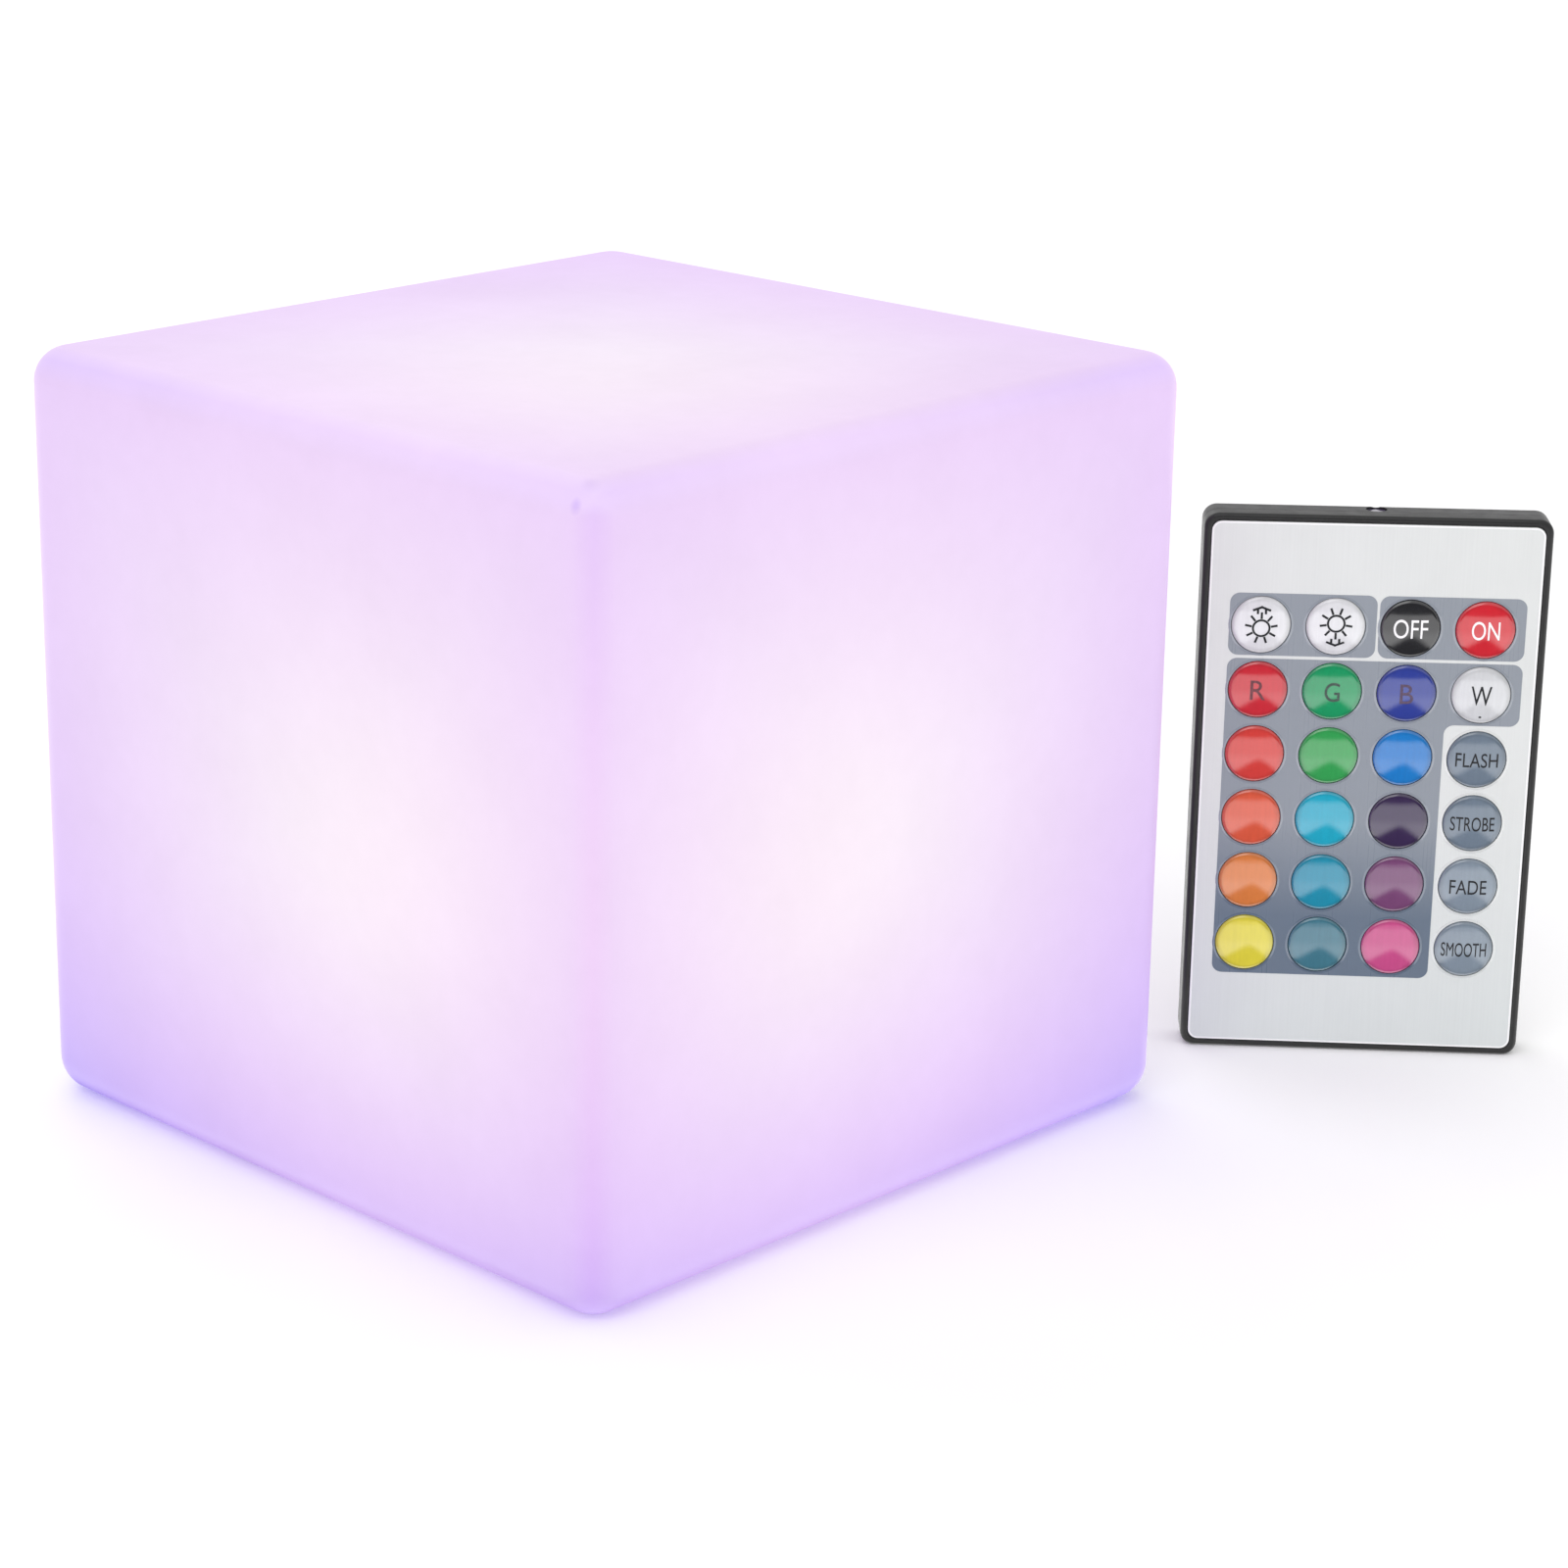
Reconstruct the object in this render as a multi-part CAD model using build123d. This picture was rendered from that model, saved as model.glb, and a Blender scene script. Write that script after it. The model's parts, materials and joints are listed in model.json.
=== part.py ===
from build123d import *
import os
from math import cos, radians, sin

# Cube-shaped light with a twist-in light module in its underside, and its card remote.
# Millimetres, +Z up. The origin is the centre of the cube's underside, on the surface
# that the light stands on. The remote stands on it too, past the +Y side and towards +X.

# ---------------------------------------------------------------- driving sizes: cube
CUBE_WIDTH = 120.0
CUBE_HEIGHT = 115.0
SHELL_WALL = 3.0
EDGE_RADIUS = 5.7

# Mouth in the underside, which the light module turns into
MOUTH_RADIUS = 30.0
LEDGE_THICKNESS = 2.4
FLANGE_RADIUS = 36.5
FLANGE_THICKNESS = 2.0
FLANGE_GAP = 0.3
SEAL_THICKNESS = 0.8
SEAL_EDGE_GAP = 0.4
SEAL_SIDES = 36

# Bayonet: three lugs on the module pass three notches in the ledge, then turn over it
LUG_COUNT = 3
LUG_REACH = 3.0
LUG_THICKNESS = 2.0
LUG_HALF_ANGLE = 14.0
LUG_HEIGHT_GAP = 0.1
NOTCH_EXTRA_ANGLE = 4.0
NOTCH_GAP = 0.4
TWIST_ANGLE = 45.0
STOP_HALF_ANGLE = 2.5
STOP_ANGLE_GAP = 1.0
STOP_HEIGHT = 1.8

# ---------------------------------------------------------------- driving sizes: module
CUP_GAP = 0.5
CUP_WALL = 1.8
FLOOR_THICKNESS = 3.2
ROOT_OVERLAP = 0.5
GRIP_RADIUS = 21.0
GRIP_WIDTH = 7.0
GRIP_HALF_ANGLE = 28.0
GRIP_DEPTH = 1.8

CONTROL_BOARD_LENGTH = 45.0
CONTROL_BOARD_WIDTH = 30.0
BOARD_THICKNESS = 1.6
# Each chip's place along the board, its side of the cradle, its length, width and height
CONTROL_CHIPS = [
    (0.0, 1, 10.0, 4.0, 1.6),
    (-11.0, 1, 3.0, 3.0, 1.2),
    (0.0, -1, 5.0, 5.0, 2.6),
    (10.0, -1, 6.0, 3.2, 2.2),
]
STANDOFF_HEIGHT = 6.0
STANDOFF_WIDTH = 3.6
STANDOFF_INSET = 3.6

CELL_RADIUS = 7.0
CELL_LENGTH = 43.0
CELL_GAP = 0.1
CELL_HEADROOM = 0.4
TAB_THICKNESS = 0.3
TAB_WIDTH = 5.0
TAB_ABOVE_AXIS = 2.5
CRADLE_LENGTH = 34.0
CRADLE_WIDTH = 15.0
CRADLE_PLATE = 1.2
SADDLE_THICKNESS = 3.0
SADDLE_HEIGHT = 4.5
SADDLE_SPACING = 26.0

LED_BOARD_RADIUS = 27.2
LED_BOARD_SIDES = 8
LED_COUNT = 6
LED_SIZE = 5.0
LED_HEIGHT = 1.6
LED_RING_RADIUS = 14.0
IR_WIDTH = 5.6
IR_DEPTH = 4.6
IR_HEIGHT = 6.8
PILLAR_WIDTH = 5.0
PILLAR_OFFSET = 22.0

LENS_ABOVE_BOARD = 0.3
LENS_WALL = 1.4
LENS_HEIGHT = 12.0
LENS_TAPER = 32.0
LENS_SIDES = 16

# Power button, its switch, the charging socket and its rubber flap, all in the underside
BUTTON_Y = -9.5
BUTTON_RADIUS = 4.0
BUTTON_GAP = 0.3
BUTTON_RECESS = 0.5
BUTTON_FLANGE_WIDTH = 10.6
BUTTON_FLANGE_THICKNESS = 0.8
BUTTON_TRAVEL = 0.8
PUSHER_WIDTH = 3.0
PRESS_CLEARANCE = 0.05
SWITCH_WIDTH = 6.0
SWITCH_HEIGHT = 3.3
SWITCH_STEM_RADIUS = 1.65
SWITCH_STEM_HEIGHT = 0.45

PORT_Y = 9.5
SOCKET_WIDTH = 9.0
SOCKET_BARREL_RADIUS = 3.2
SOCKET_BARREL_GAP = 0.2
SOCKET_FLOOR_GAP = 0.2
SOCKET_BORE_RADIUS = 1.9
SOCKET_BACK_WALL = 0.8
FLAP_WIDTH = 8.0
FLAP_THICKNESS = 1.0
FLAP_SETBACK = 0.1
FLAP_GAP = 0.3
FLAP_FREE_LENGTH = 5.0
FLAP_HINGE_LENGTH = 7.5
FLAP_CORNER_RADIUS = 2.0
FLAP_BEAD_FLAT = 0.02
FLAP_PLUG_RADIUS = 1.5
FLAP_PLUG_REACH = 1.4

# ---------------------------------------------------------------- driving sizes: remote
REMOTE_X = 68.7
REMOTE_Y = 95.7
REMOTE_TURN = 41.0
REMOTE_WIDTH = 52.0
REMOTE_HEIGHT = 86.0
REMOTE_CORNER_RADIUS = 2.2
RIM_WIDTH = 1.1
RIM_CHAMFER = 0.35
PLATE_GAP = 0.05
PLATE_LEDGE = 0.9
PLATE_CORNER_RADIUS = 1.6
BACK_FLOOR = 0.8
BACK_CHAMFER = 0.6
BACK_WALL = 1.6

# Thickness of each layer, from the front face to the back
PLATE_THICKNESS = 0.8
KEY_FLANGE_THICKNESS = 0.5
KEY_TRAVEL = 0.4
MAT_GAP = 0.15
MAT_THICKNESS = 0.4
REMOTE_BOARD_THICKNESS = 0.8
CONTACT_THICKNESS = 0.12
CONTACT_GAP = 0.03
COIN_THICKNESS = 2.5
TRAY_WEB = 0.25
TRAY_GAP = 0.05

# Keys: the outer ones lie this far in from the edges, and the rest are spread between them
KEY_COLUMNS = 4
KEY_ROWS = 6
KEYS_FROM_SIDE = 9.2
KEYS_FROM_TOP = 17.25
KEYS_FROM_BOTTOM = 17.5
KEY_SPACING = 1.35
KEY_FLANGE_SPACING = 0.8
KEY_GAP = 0.2
KEY_RISE = 0.7
KEY_SIDES = 22

KEY_NAMES = [
    ["brightness_up", "brightness_down", "off", "on"],
    ["red", "green", "blue", "white"],
    ["light_red", "light_green", "azure", "flash"],
    ["coral", "cyan", "purple", "strobe"],
    ["orange", "sky_blue", "plum", "fade"],
    ["yellow", "teal", "pink", "smooth"],
]

MAT_MARGIN = 0.5
REMOTE_BOARD_MARGIN = 0.4
COIN_RADIUS = 10.0
COIN_GAP = 0.1
TRAY_SIDE = 1.6
TRAY_END = 1.6
TRAY_BACK = 1.8
TRAY_SIDE_GAP = 0.15
TRAY_NOTCH_RADIUS = 5.0
TRAY_NOTCH_DEPTH = 0.6
RAIL_THICKNESS = 1.0
CONTACT_WIDTH = 4.0
CONTACT_LENGTH = 7.0
CONTACT_SPACING = 10.0
EMITTER_RADIUS = 1.5
EMITTER_LENGTH = 5.0
EMITTER_GAP = 0.1
EMITTER_SETBACK = 0.3
EMITTER_BELOW_BOARD = 0.2
CHIP_LENGTH = 10.0
CHIP_WIDTH = 4.0
CHIP_HEIGHT = 1.5
CHIP_ABOVE_TRAY = 22.0

# ---------------------------------------------------------------- worked-out places: cube
seal_top = FLANGE_THICKNESS + SEAL_THICKNESS
ledge_top = seal_top + LEDGE_THICKNESS
recess_radius = FLANGE_RADIUS + FLANGE_GAP
cup_radius = MOUTH_RADIUS - CUP_GAP
cup_inner_radius = cup_radius - CUP_WALL
lug_radius = cup_radius + LUG_REACH
notch_radius = lug_radius + NOTCH_GAP
lug_bottom = ledge_top + LUG_HEIGHT_GAP
notch_half_angle = LUG_HALF_ANGLE + NOTCH_EXTRA_ANGLE
lug_angles = [360.0 / LUG_COUNT * i for i in range(LUG_COUNT)]

control_board_bottom = FLOOR_THICKNESS + STANDOFF_HEIGHT
control_board_top = control_board_bottom + BOARD_THICKNESS
cradle_top = control_board_top + CRADLE_PLATE
cell_axis_z = cradle_top + CELL_GAP + CELL_RADIUS
led_board_bottom = cell_axis_z + CELL_RADIUS + CELL_HEADROOM
led_board_top = led_board_bottom + BOARD_THICKNESS
cup_top = led_board_top + LENS_ABOVE_BOARD

flap_recess_depth = FLAP_SETBACK + FLAP_THICKNESS + FLAP_GAP
flap_bead_radius = FLAP_THICKNESS / 2 - FLAP_BEAD_FLAT
switch_stem_bottom = control_board_bottom - SWITCH_HEIGHT - SWITCH_STEM_HEIGHT

# ---------------------------------------------------------------- worked-out places: remote
# The remote is drawn flat: x to the right, y up from its bottom edge, z out of its face.
remote_plane = Plane(
    origin=(REMOTE_X, REMOTE_Y, 0),
    x_dir=(cos(radians(REMOTE_TURN)), sin(radians(REMOTE_TURN)), 0),
    z_dir=(sin(radians(REMOTE_TURN)), -cos(radians(REMOTE_TURN)), 0),
)
plate_back = -PLATE_THICKNESS
key_flange_back = plate_back - KEY_FLANGE_THICKNESS
mat_front = key_flange_back - KEY_TRAVEL - MAT_GAP
mat_back = mat_front - MAT_THICKNESS
remote_board_back = mat_back - REMOTE_BOARD_THICKNESS
coin_front = remote_board_back - CONTACT_THICKNESS - CONTACT_GAP
coin_back = coin_front - COIN_THICKNESS
tray_back = coin_back - TRAY_WEB
back_floor_front = tray_back - TRAY_GAP
remote_back = back_floor_front - BACK_FLOOR
plate_width = REMOTE_WIDTH - 2 * RIM_WIDTH
plate_height = REMOTE_HEIGHT - 2 * RIM_WIDTH
cavity_width = plate_width - 2 * PLATE_LEDGE
cavity_height = plate_height - 2 * PLATE_LEDGE
key_column_pitch = (REMOTE_WIDTH - 2 * KEYS_FROM_SIDE) / (KEY_COLUMNS - 1)
key_row_pitch = (REMOTE_HEIGHT - KEYS_FROM_TOP - KEYS_FROM_BOTTOM) / (KEY_ROWS - 1)
key_radius = (min(key_column_pitch, key_row_pitch) - KEY_SPACING) / 2
tray_width = 2 * (COIN_RADIUS + COIN_GAP + TRAY_SIDE)
tray_length = TRAY_END + 2 * (COIN_RADIUS + COIN_GAP) + TRAY_BACK
coin_y = TRAY_END + COIN_GAP + COIN_RADIUS


# ---------------------------------------------------------------- helpers
def save(shape, node):
    """Write one sub-part to its own file."""
    export_step(shape, f"parts/{node}.step")


def column(radius, bottom, top):
    """An upright cylinder on the Z axis between two heights."""
    return Pos(0, 0, bottom) * extrude(Circle(radius), top - bottom)


def many_sided(radius, sides, bottom, top):
    """An upright prism with its corners on a circle. It keeps a round piece light to draw."""
    return Pos(0, 0, bottom) * extrude(RegularPolygon(radius, sides), top - bottom)


def slab(length, width, bottom, top):
    """An upright block on the Z axis between two heights."""
    return Pos(0, 0, bottom) * extrude(Rectangle(length, width), top - bottom)


def ring_sector(inner_radius, outer_radius, middle_angle, half_angle, bottom, top):
    """A piece of a flat ring, as a lug, a notch or a stop."""
    start = middle_angle - half_angle
    outer = CenterArc((0, 0), outer_radius, start, 2 * half_angle)
    inner = CenterArc((0, 0), inner_radius, start, 2 * half_angle)
    outline = [outer, inner, Line(outer @ 0, inner @ 0), Line(outer @ 1, inner @ 1)]
    return Pos(0, 0, bottom) * extrude(make_face(outline), top - bottom)


def upright_sheet(width, height, radius, back, front):
    """A layer of the remote, in the remote's own drawing plane, from its bottom edge up."""
    face = RectangleRounded(width, height, radius) if radius else Rectangle(width, height)
    return Pos(0, REMOTE_HEIGHT / 2, back) * extrude(face, front - back)


def stand(shape):
    """Stand a shape drawn in the remote's plane up on the floor, where the remote is."""
    return remote_plane.location * shape


# ---------------------------------------------------------------- cube
def cube_shell():
    """Hollow moulded cube whose underside is dished in around the mouth."""
    outside = slab(CUBE_WIDTH, CUBE_WIDTH, 0, CUBE_HEIGHT)
    outside = fillet(outside.edges(), EDGE_RADIUS)
    inner_width = CUBE_WIDTH - 2 * SHELL_WALL
    inner_outline = RectangleRounded(inner_width, inner_width, EDGE_RADIUS - SHELL_WALL)
    inside = Pos(0, 0, SHELL_WALL) * extrude(inner_outline, CUBE_HEIGHT - 2 * SHELL_WALL)
    shell = outside - inside
    boss_width = 2 * (recess_radius + SHELL_WALL)
    shell += slab(boss_width, boss_width, 0, ledge_top)
    shell -= column(recess_radius, 0, seal_top)
    shell -= column(MOUTH_RADIUS, seal_top, ledge_top)
    for angle in lug_angles:
        notch_angle = angle - TWIST_ANGLE
        shell -= ring_sector(
            MOUTH_RADIUS - ROOT_OVERLAP, notch_radius, notch_angle, notch_half_angle, seal_top, ledge_top
        )
        stop_angle = angle + LUG_HALF_ANGLE + STOP_ANGLE_GAP + STOP_HALF_ANGLE
        shell += ring_sector(
            MOUTH_RADIUS, lug_radius, stop_angle, STOP_HALF_ANGLE, ledge_top, ledge_top + STOP_HEIGHT
        )
    return shell


# ---------------------------------------------------------------- light module
def cup_profile():
    """Half section of the module's cover: flange, floor and wall."""
    return Polyline(
        (0, 0),
        (FLANGE_RADIUS, 0),
        (FLANGE_RADIUS, FLANGE_THICKNESS),
        (cup_radius, FLANGE_THICKNESS),
        (cup_radius, cup_top),
        (cup_inner_radius, cup_top),
        (cup_inner_radius, FLOOR_THICKNESS),
        (0, FLOOR_THICKNESS),
        close=True,
    )


def flap_outline(extra):
    """Outline of the port flap, grown by extra on every side. Its hinge end is square."""
    length = FLAP_FREE_LENGTH + FLAP_HINGE_LENGTH + FLAP_THICKNESS / 2
    outline = Rectangle(length + 2 * extra, FLAP_WIDTH + 2 * extra)
    free_corners = outline.vertices().sort_by(Axis.X)[:2]
    outline = fillet(free_corners, FLAP_CORNER_RADIUS + extra)
    return Pos(length / 2 - FLAP_FREE_LENGTH, PORT_Y) * outline


def base_cover():
    """Cup that holds the electronics. Its flange closes the mouth, flush with the underside."""
    cup = revolve(Plane.XZ * make_face(cup_profile()), Axis.Z)
    for angle in lug_angles:
        cup += ring_sector(
            cup_radius - ROOT_OVERLAP, lug_radius, angle, LUG_HALF_ANGLE, lug_bottom,
            lug_bottom + LUG_THICKNESS,
        )
    standoff = slab(STANDOFF_WIDTH, STANDOFF_WIDTH, FLOOR_THICKNESS, control_board_bottom)
    for corner in standoff_places():
        cup += Pos(*corner) * standoff
    pillar = slab(PILLAR_WIDTH, PILLAR_WIDTH, FLOOR_THICKNESS, led_board_bottom)
    for side in (-1, 1):
        cup += Pos(0, side * PILLAR_OFFSET) * pillar
    for middle in (0, 180):
        inner_radius = GRIP_RADIUS - GRIP_WIDTH / 2
        outer_radius = GRIP_RADIUS + GRIP_WIDTH / 2
        cup -= ring_sector(inner_radius, outer_radius, middle, GRIP_HALF_ANGLE, 0, GRIP_DEPTH)
    cup -= extrude(flap_outline(FLAP_GAP), flap_recess_depth)
    socket_hole = SOCKET_BARREL_RADIUS + SOCKET_BARREL_GAP
    cup -= Pos(0, PORT_Y) * column(socket_hole, 0, FLOOR_THICKNESS)
    cup -= Pos(0, BUTTON_Y) * column(BUTTON_RADIUS + BUTTON_GAP, 0, FLOOR_THICKNESS)
    return cup


def standoff_places():
    """Centres of the four posts that carry the control board."""
    x = CONTROL_BOARD_LENGTH / 2 - STANDOFF_INSET
    y = CONTROL_BOARD_WIDTH / 2 - STANDOFF_INSET
    return [(x, y), (-x, y), (-x, -y), (x, -y)]


def base_seal():
    """Flat rubber ring between the flange and the ledge round the mouth."""
    ring = many_sided(FLANGE_RADIUS - SEAL_EDGE_GAP, SEAL_SIDES, FLANGE_THICKNESS, seal_top)
    return ring - many_sided(notch_radius + SEAL_EDGE_GAP, SEAL_SIDES, FLANGE_THICKNESS, seal_top)


def control_board():
    return slab(CONTROL_BOARD_LENGTH, CONTROL_BOARD_WIDTH, control_board_bottom, control_board_top)


def control_chips():
    """Controller, charger, coil and capacitor, in the free strips beside the battery cradle."""
    strip_y = (CRADLE_WIDTH + CONTROL_BOARD_WIDTH) / 4
    chips = []
    for x, side, length, width, height in CONTROL_CHIPS:
        chip = slab(length, width, control_board_top, control_board_top + height)
        chips.append(Pos(x, side * strip_y) * chip)
    return Compound(children=chips)


def battery_cradle():
    """Plate with two saddles, which holds the cell above the control board."""
    cradle = slab(CRADLE_LENGTH, CRADLE_WIDTH, control_board_top, cradle_top)
    saddle = slab(SADDLE_THICKNESS, CRADLE_WIDTH, cradle_top, cradle_top + SADDLE_HEIGHT)
    hollow = Pos(0, 0, cell_axis_z) * Rot(0, 90, 0) * Cylinder(CELL_RADIUS + CELL_GAP, SADDLE_THICKNESS)
    for side in (-1, 1):
        cradle += Pos(side * SADDLE_SPACING / 2) * (saddle - hollow)
    return cradle


def battery_cell():
    """Round rechargeable cell that lies along X in the cradle."""
    return Pos(0, 0, cell_axis_z) * Rot(0, 90, 0) * Cylinder(CELL_RADIUS, CELL_LENGTH)


def battery_tabs():
    """Two metal strips that join the ends of the cell to the control board."""
    tab = slab(TAB_THICKNESS, TAB_WIDTH, control_board_top, cell_axis_z + TAB_ABOVE_AXIS)
    offset = (CELL_LENGTH + TAB_THICKNESS) / 2
    return Compound(children=[Pos(offset) * tab, Pos(-offset) * tab])


def led_board():
    """Eight-sided board on the two pillars, face up under the lens."""
    return many_sided(LED_BOARD_RADIUS, LED_BOARD_SIDES, led_board_bottom, led_board_top)


def led_packages():
    """Ring of square colour-changing diodes."""
    package = slab(LED_SIZE, LED_SIZE, led_board_top, led_board_top + LED_HEIGHT)
    ring = PolarLocations(LED_RING_RADIUS, LED_COUNT)
    return Compound(children=[place * package for place in ring])


def ir_receiver():
    return slab(IR_WIDTH, IR_DEPTH, led_board_top, led_board_top + IR_HEIGHT)


def frosted_lens():
    """Shallow many-sided frosted cap that spreads the light, seated on the rim of the cup."""
    outside = extrude(RegularPolygon(cup_radius, LENS_SIDES), LENS_HEIGHT, taper=LENS_TAPER)
    inner_foot = RegularPolygon(cup_radius - LENS_WALL, LENS_SIDES)
    inside = extrude(inner_foot, LENS_HEIGHT - LENS_WALL, taper=LENS_TAPER)
    return Pos(0, 0, cup_top) * (outside - inside)


def power_button():
    """Soft cap that sits just inside the underside, with a flange and a pusher above it."""
    flange_top = FLOOR_THICKNESS + BUTTON_FLANGE_THICKNESS
    pusher_top = switch_stem_bottom - BUTTON_TRAVEL - PRESS_CLEARANCE
    button = column(BUTTON_RADIUS, BUTTON_RECESS, FLOOR_THICKNESS)
    button += slab(BUTTON_FLANGE_WIDTH, BUTTON_FLANGE_WIDTH, FLOOR_THICKNESS, flange_top)
    button += slab(PUSHER_WIDTH, PUSHER_WIDTH, flange_top, pusher_top)
    return Pos(0, BUTTON_Y) * button


def power_switch():
    body_bottom = control_board_bottom - SWITCH_HEIGHT
    switch = slab(SWITCH_WIDTH, SWITCH_WIDTH, body_bottom, control_board_bottom)
    switch += column(SWITCH_STEM_RADIUS, switch_stem_bottom, body_bottom)
    return Pos(0, BUTTON_Y) * switch


def charge_socket():
    """Round charging socket under the control board, which opens through the floor."""
    body_bottom = FLOOR_THICKNESS + SOCKET_FLOOR_GAP
    bore_top = control_board_bottom - SOCKET_BACK_WALL
    socket = slab(SOCKET_WIDTH, SOCKET_WIDTH, body_bottom, control_board_bottom)
    socket += column(SOCKET_BARREL_RADIUS, flap_recess_depth, body_bottom)
    socket -= column(SOCKET_BORE_RADIUS, flap_recess_depth, bore_top)
    return Pos(0, PORT_Y) * socket


def port_cover():
    """Rubber flap over the charging socket, with a short plug and a round hinge bead."""
    flap = extrude(flap_outline(0), FLAP_THICKNESS)
    bead_edges = flap.faces().sort_by(Axis.X)[-1].edges().filter_by(Axis.Y)
    flap = fillet(bead_edges, flap_bead_radius)
    plug_top = FLAP_THICKNESS + FLAP_GAP + FLAP_PLUG_REACH
    flap += Pos(0, PORT_Y) * column(FLAP_PLUG_RADIUS, FLAP_THICKNESS, plug_top)
    return Pos(0, 0, FLAP_SETBACK) * flap


# ---------------------------------------------------------------- remote
def key_places():
    """Name and centre of every key, row by row from the top left."""
    places = []
    for row in range(KEY_ROWS):
        for key_column in range(KEY_COLUMNS):
            x = (key_column - (KEY_COLUMNS - 1) / 2) * key_column_pitch
            y = REMOTE_HEIGHT - KEYS_FROM_TOP - row * key_row_pitch
            places.append((KEY_NAMES[row][key_column], x, y))
    return places


def along_emitter(radius, length, setback):
    """A cylinder on the infrared diode's line, which starts a setback inside the top edge."""
    middle = REMOTE_HEIGHT - setback - length / 2
    depth = remote_board_back - EMITTER_BELOW_BOARD - EMITTER_RADIUS
    return Pos(0, middle, depth) * Rot(90, 0, 0) * Cylinder(radius, length)


def remote_frame():
    """Front shell of the remote: a black rim with a ledge for the face plate."""
    frame = upright_sheet(REMOTE_WIDTH, REMOTE_HEIGHT, REMOTE_CORNER_RADIUS, remote_board_back, 0)
    frame = chamfer(frame.faces().sort_by(Axis.Z)[-1].edges(), RIM_CHAMFER)
    frame -= upright_sheet(plate_width, plate_height, PLATE_CORNER_RADIUS, plate_back, 0)
    return frame - upright_sheet(cavity_width, cavity_height, 0, remote_board_back, plate_back)


def remote_back_shell():
    """Back shell: a tray with the drawer's slot in its bottom edge, and two rails beside it."""
    shell = upright_sheet(
        REMOTE_WIDTH, REMOTE_HEIGHT, REMOTE_CORNER_RADIUS, remote_back, remote_board_back
    )
    shell = chamfer(shell.faces().sort_by(Axis.Z)[0].edges(), BACK_CHAMFER)
    inner_width = REMOTE_WIDTH - 2 * BACK_WALL
    inner_height = REMOTE_HEIGHT - 2 * BACK_WALL
    shell -= upright_sheet(inner_width, inner_height, 0, back_floor_front, remote_board_back)
    slot_width = tray_width + 2 * TRAY_SIDE_GAP
    slot_depth = remote_board_back - back_floor_front
    rail_length = tray_length - BACK_WALL
    rail = Box(RAIL_THICKNESS, rail_length, slot_depth)
    rail_x = (slot_width + RAIL_THICKNESS) / 2
    layer_middle = (remote_board_back + back_floor_front) / 2
    for side in (-1, 1):
        shell += Pos(side * rail_x, BACK_WALL + rail_length / 2, layer_middle) * rail
    slot = Box(slot_width, BACK_WALL, slot_depth)
    shell -= Pos(0, BACK_WALL / 2, layer_middle) * slot
    hole_length = EMITTER_SETBACK + EMITTER_LENGTH + EMITTER_GAP
    return shell - along_emitter(EMITTER_RADIUS + EMITTER_GAP, hole_length, 0)


def face_plate():
    """Printed face with a round hole for every key."""
    plate = upright_sheet(
        plate_width - 2 * PLATE_GAP, plate_height - 2 * PLATE_GAP, PLATE_CORNER_RADIUS, plate_back, 0
    )
    hole = many_sided(key_radius + KEY_GAP, KEY_SIDES, plate_back, 0)
    for _, x, y in key_places():
        plate -= Pos(x, y) * hole
    return plate


def key_cap():
    """One key: a round cap on an oblong flange that catches behind the plate."""
    flange_length = key_column_pitch - KEY_FLANGE_SPACING
    flange_width = key_row_pitch - KEY_FLANGE_SPACING
    flange = slab(flange_length, flange_width, key_flange_back, plate_back)
    return flange + many_sided(key_radius, KEY_SIDES, plate_back, KEY_RISE)


def keypad_mat():
    width = cavity_width - 2 * MAT_MARGIN
    height = cavity_height - 2 * MAT_MARGIN
    return upright_sheet(width, height, 0, mat_back, mat_front)


def remote_board():
    width = cavity_width - 2 * REMOTE_BOARD_MARGIN
    height = cavity_height - 2 * REMOTE_BOARD_MARGIN
    return upright_sheet(width, height, 0, remote_board_back, mat_back)


def remote_chip():
    chip = slab(CHIP_WIDTH, CHIP_LENGTH, remote_board_back - CHIP_HEIGHT, remote_board_back)
    return Pos(0, tray_length + CHIP_ABOVE_TRAY) * chip


def ir_emitter():
    """Infrared diode that looks out of the top edge."""
    return along_emitter(EMITTER_RADIUS, EMITTER_LENGTH, EMITTER_SETBACK)


def cell_contacts():
    """Two thin leaves under the board, which the coin cell slides beneath."""
    leaf = slab(CONTACT_WIDTH, CONTACT_LENGTH, remote_board_back - CONTACT_THICKNESS, remote_board_back)
    places = [(side * CONTACT_SPACING / 2, coin_y) for side in (-1, 1)]
    return Compound(children=[Pos(x, y) * leaf for x, y in places])


def battery_tray():
    """Drawer for the coin cell, with a finger notch in its end."""
    depth = coin_front - tray_back
    tray = Pos(0, tray_length / 2, (coin_front + tray_back) / 2) * Box(tray_width, tray_length, depth)
    tray -= Pos(0, coin_y) * column(COIN_RADIUS + COIN_GAP, coin_back, coin_front)
    notch_y = TRAY_NOTCH_DEPTH - TRAY_NOTCH_RADIUS
    return tray - Pos(0, notch_y) * column(TRAY_NOTCH_RADIUS, tray_back, coin_front)


def coin_cell():
    return Pos(0, coin_y) * column(COIN_RADIUS, coin_back, coin_front)


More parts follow.
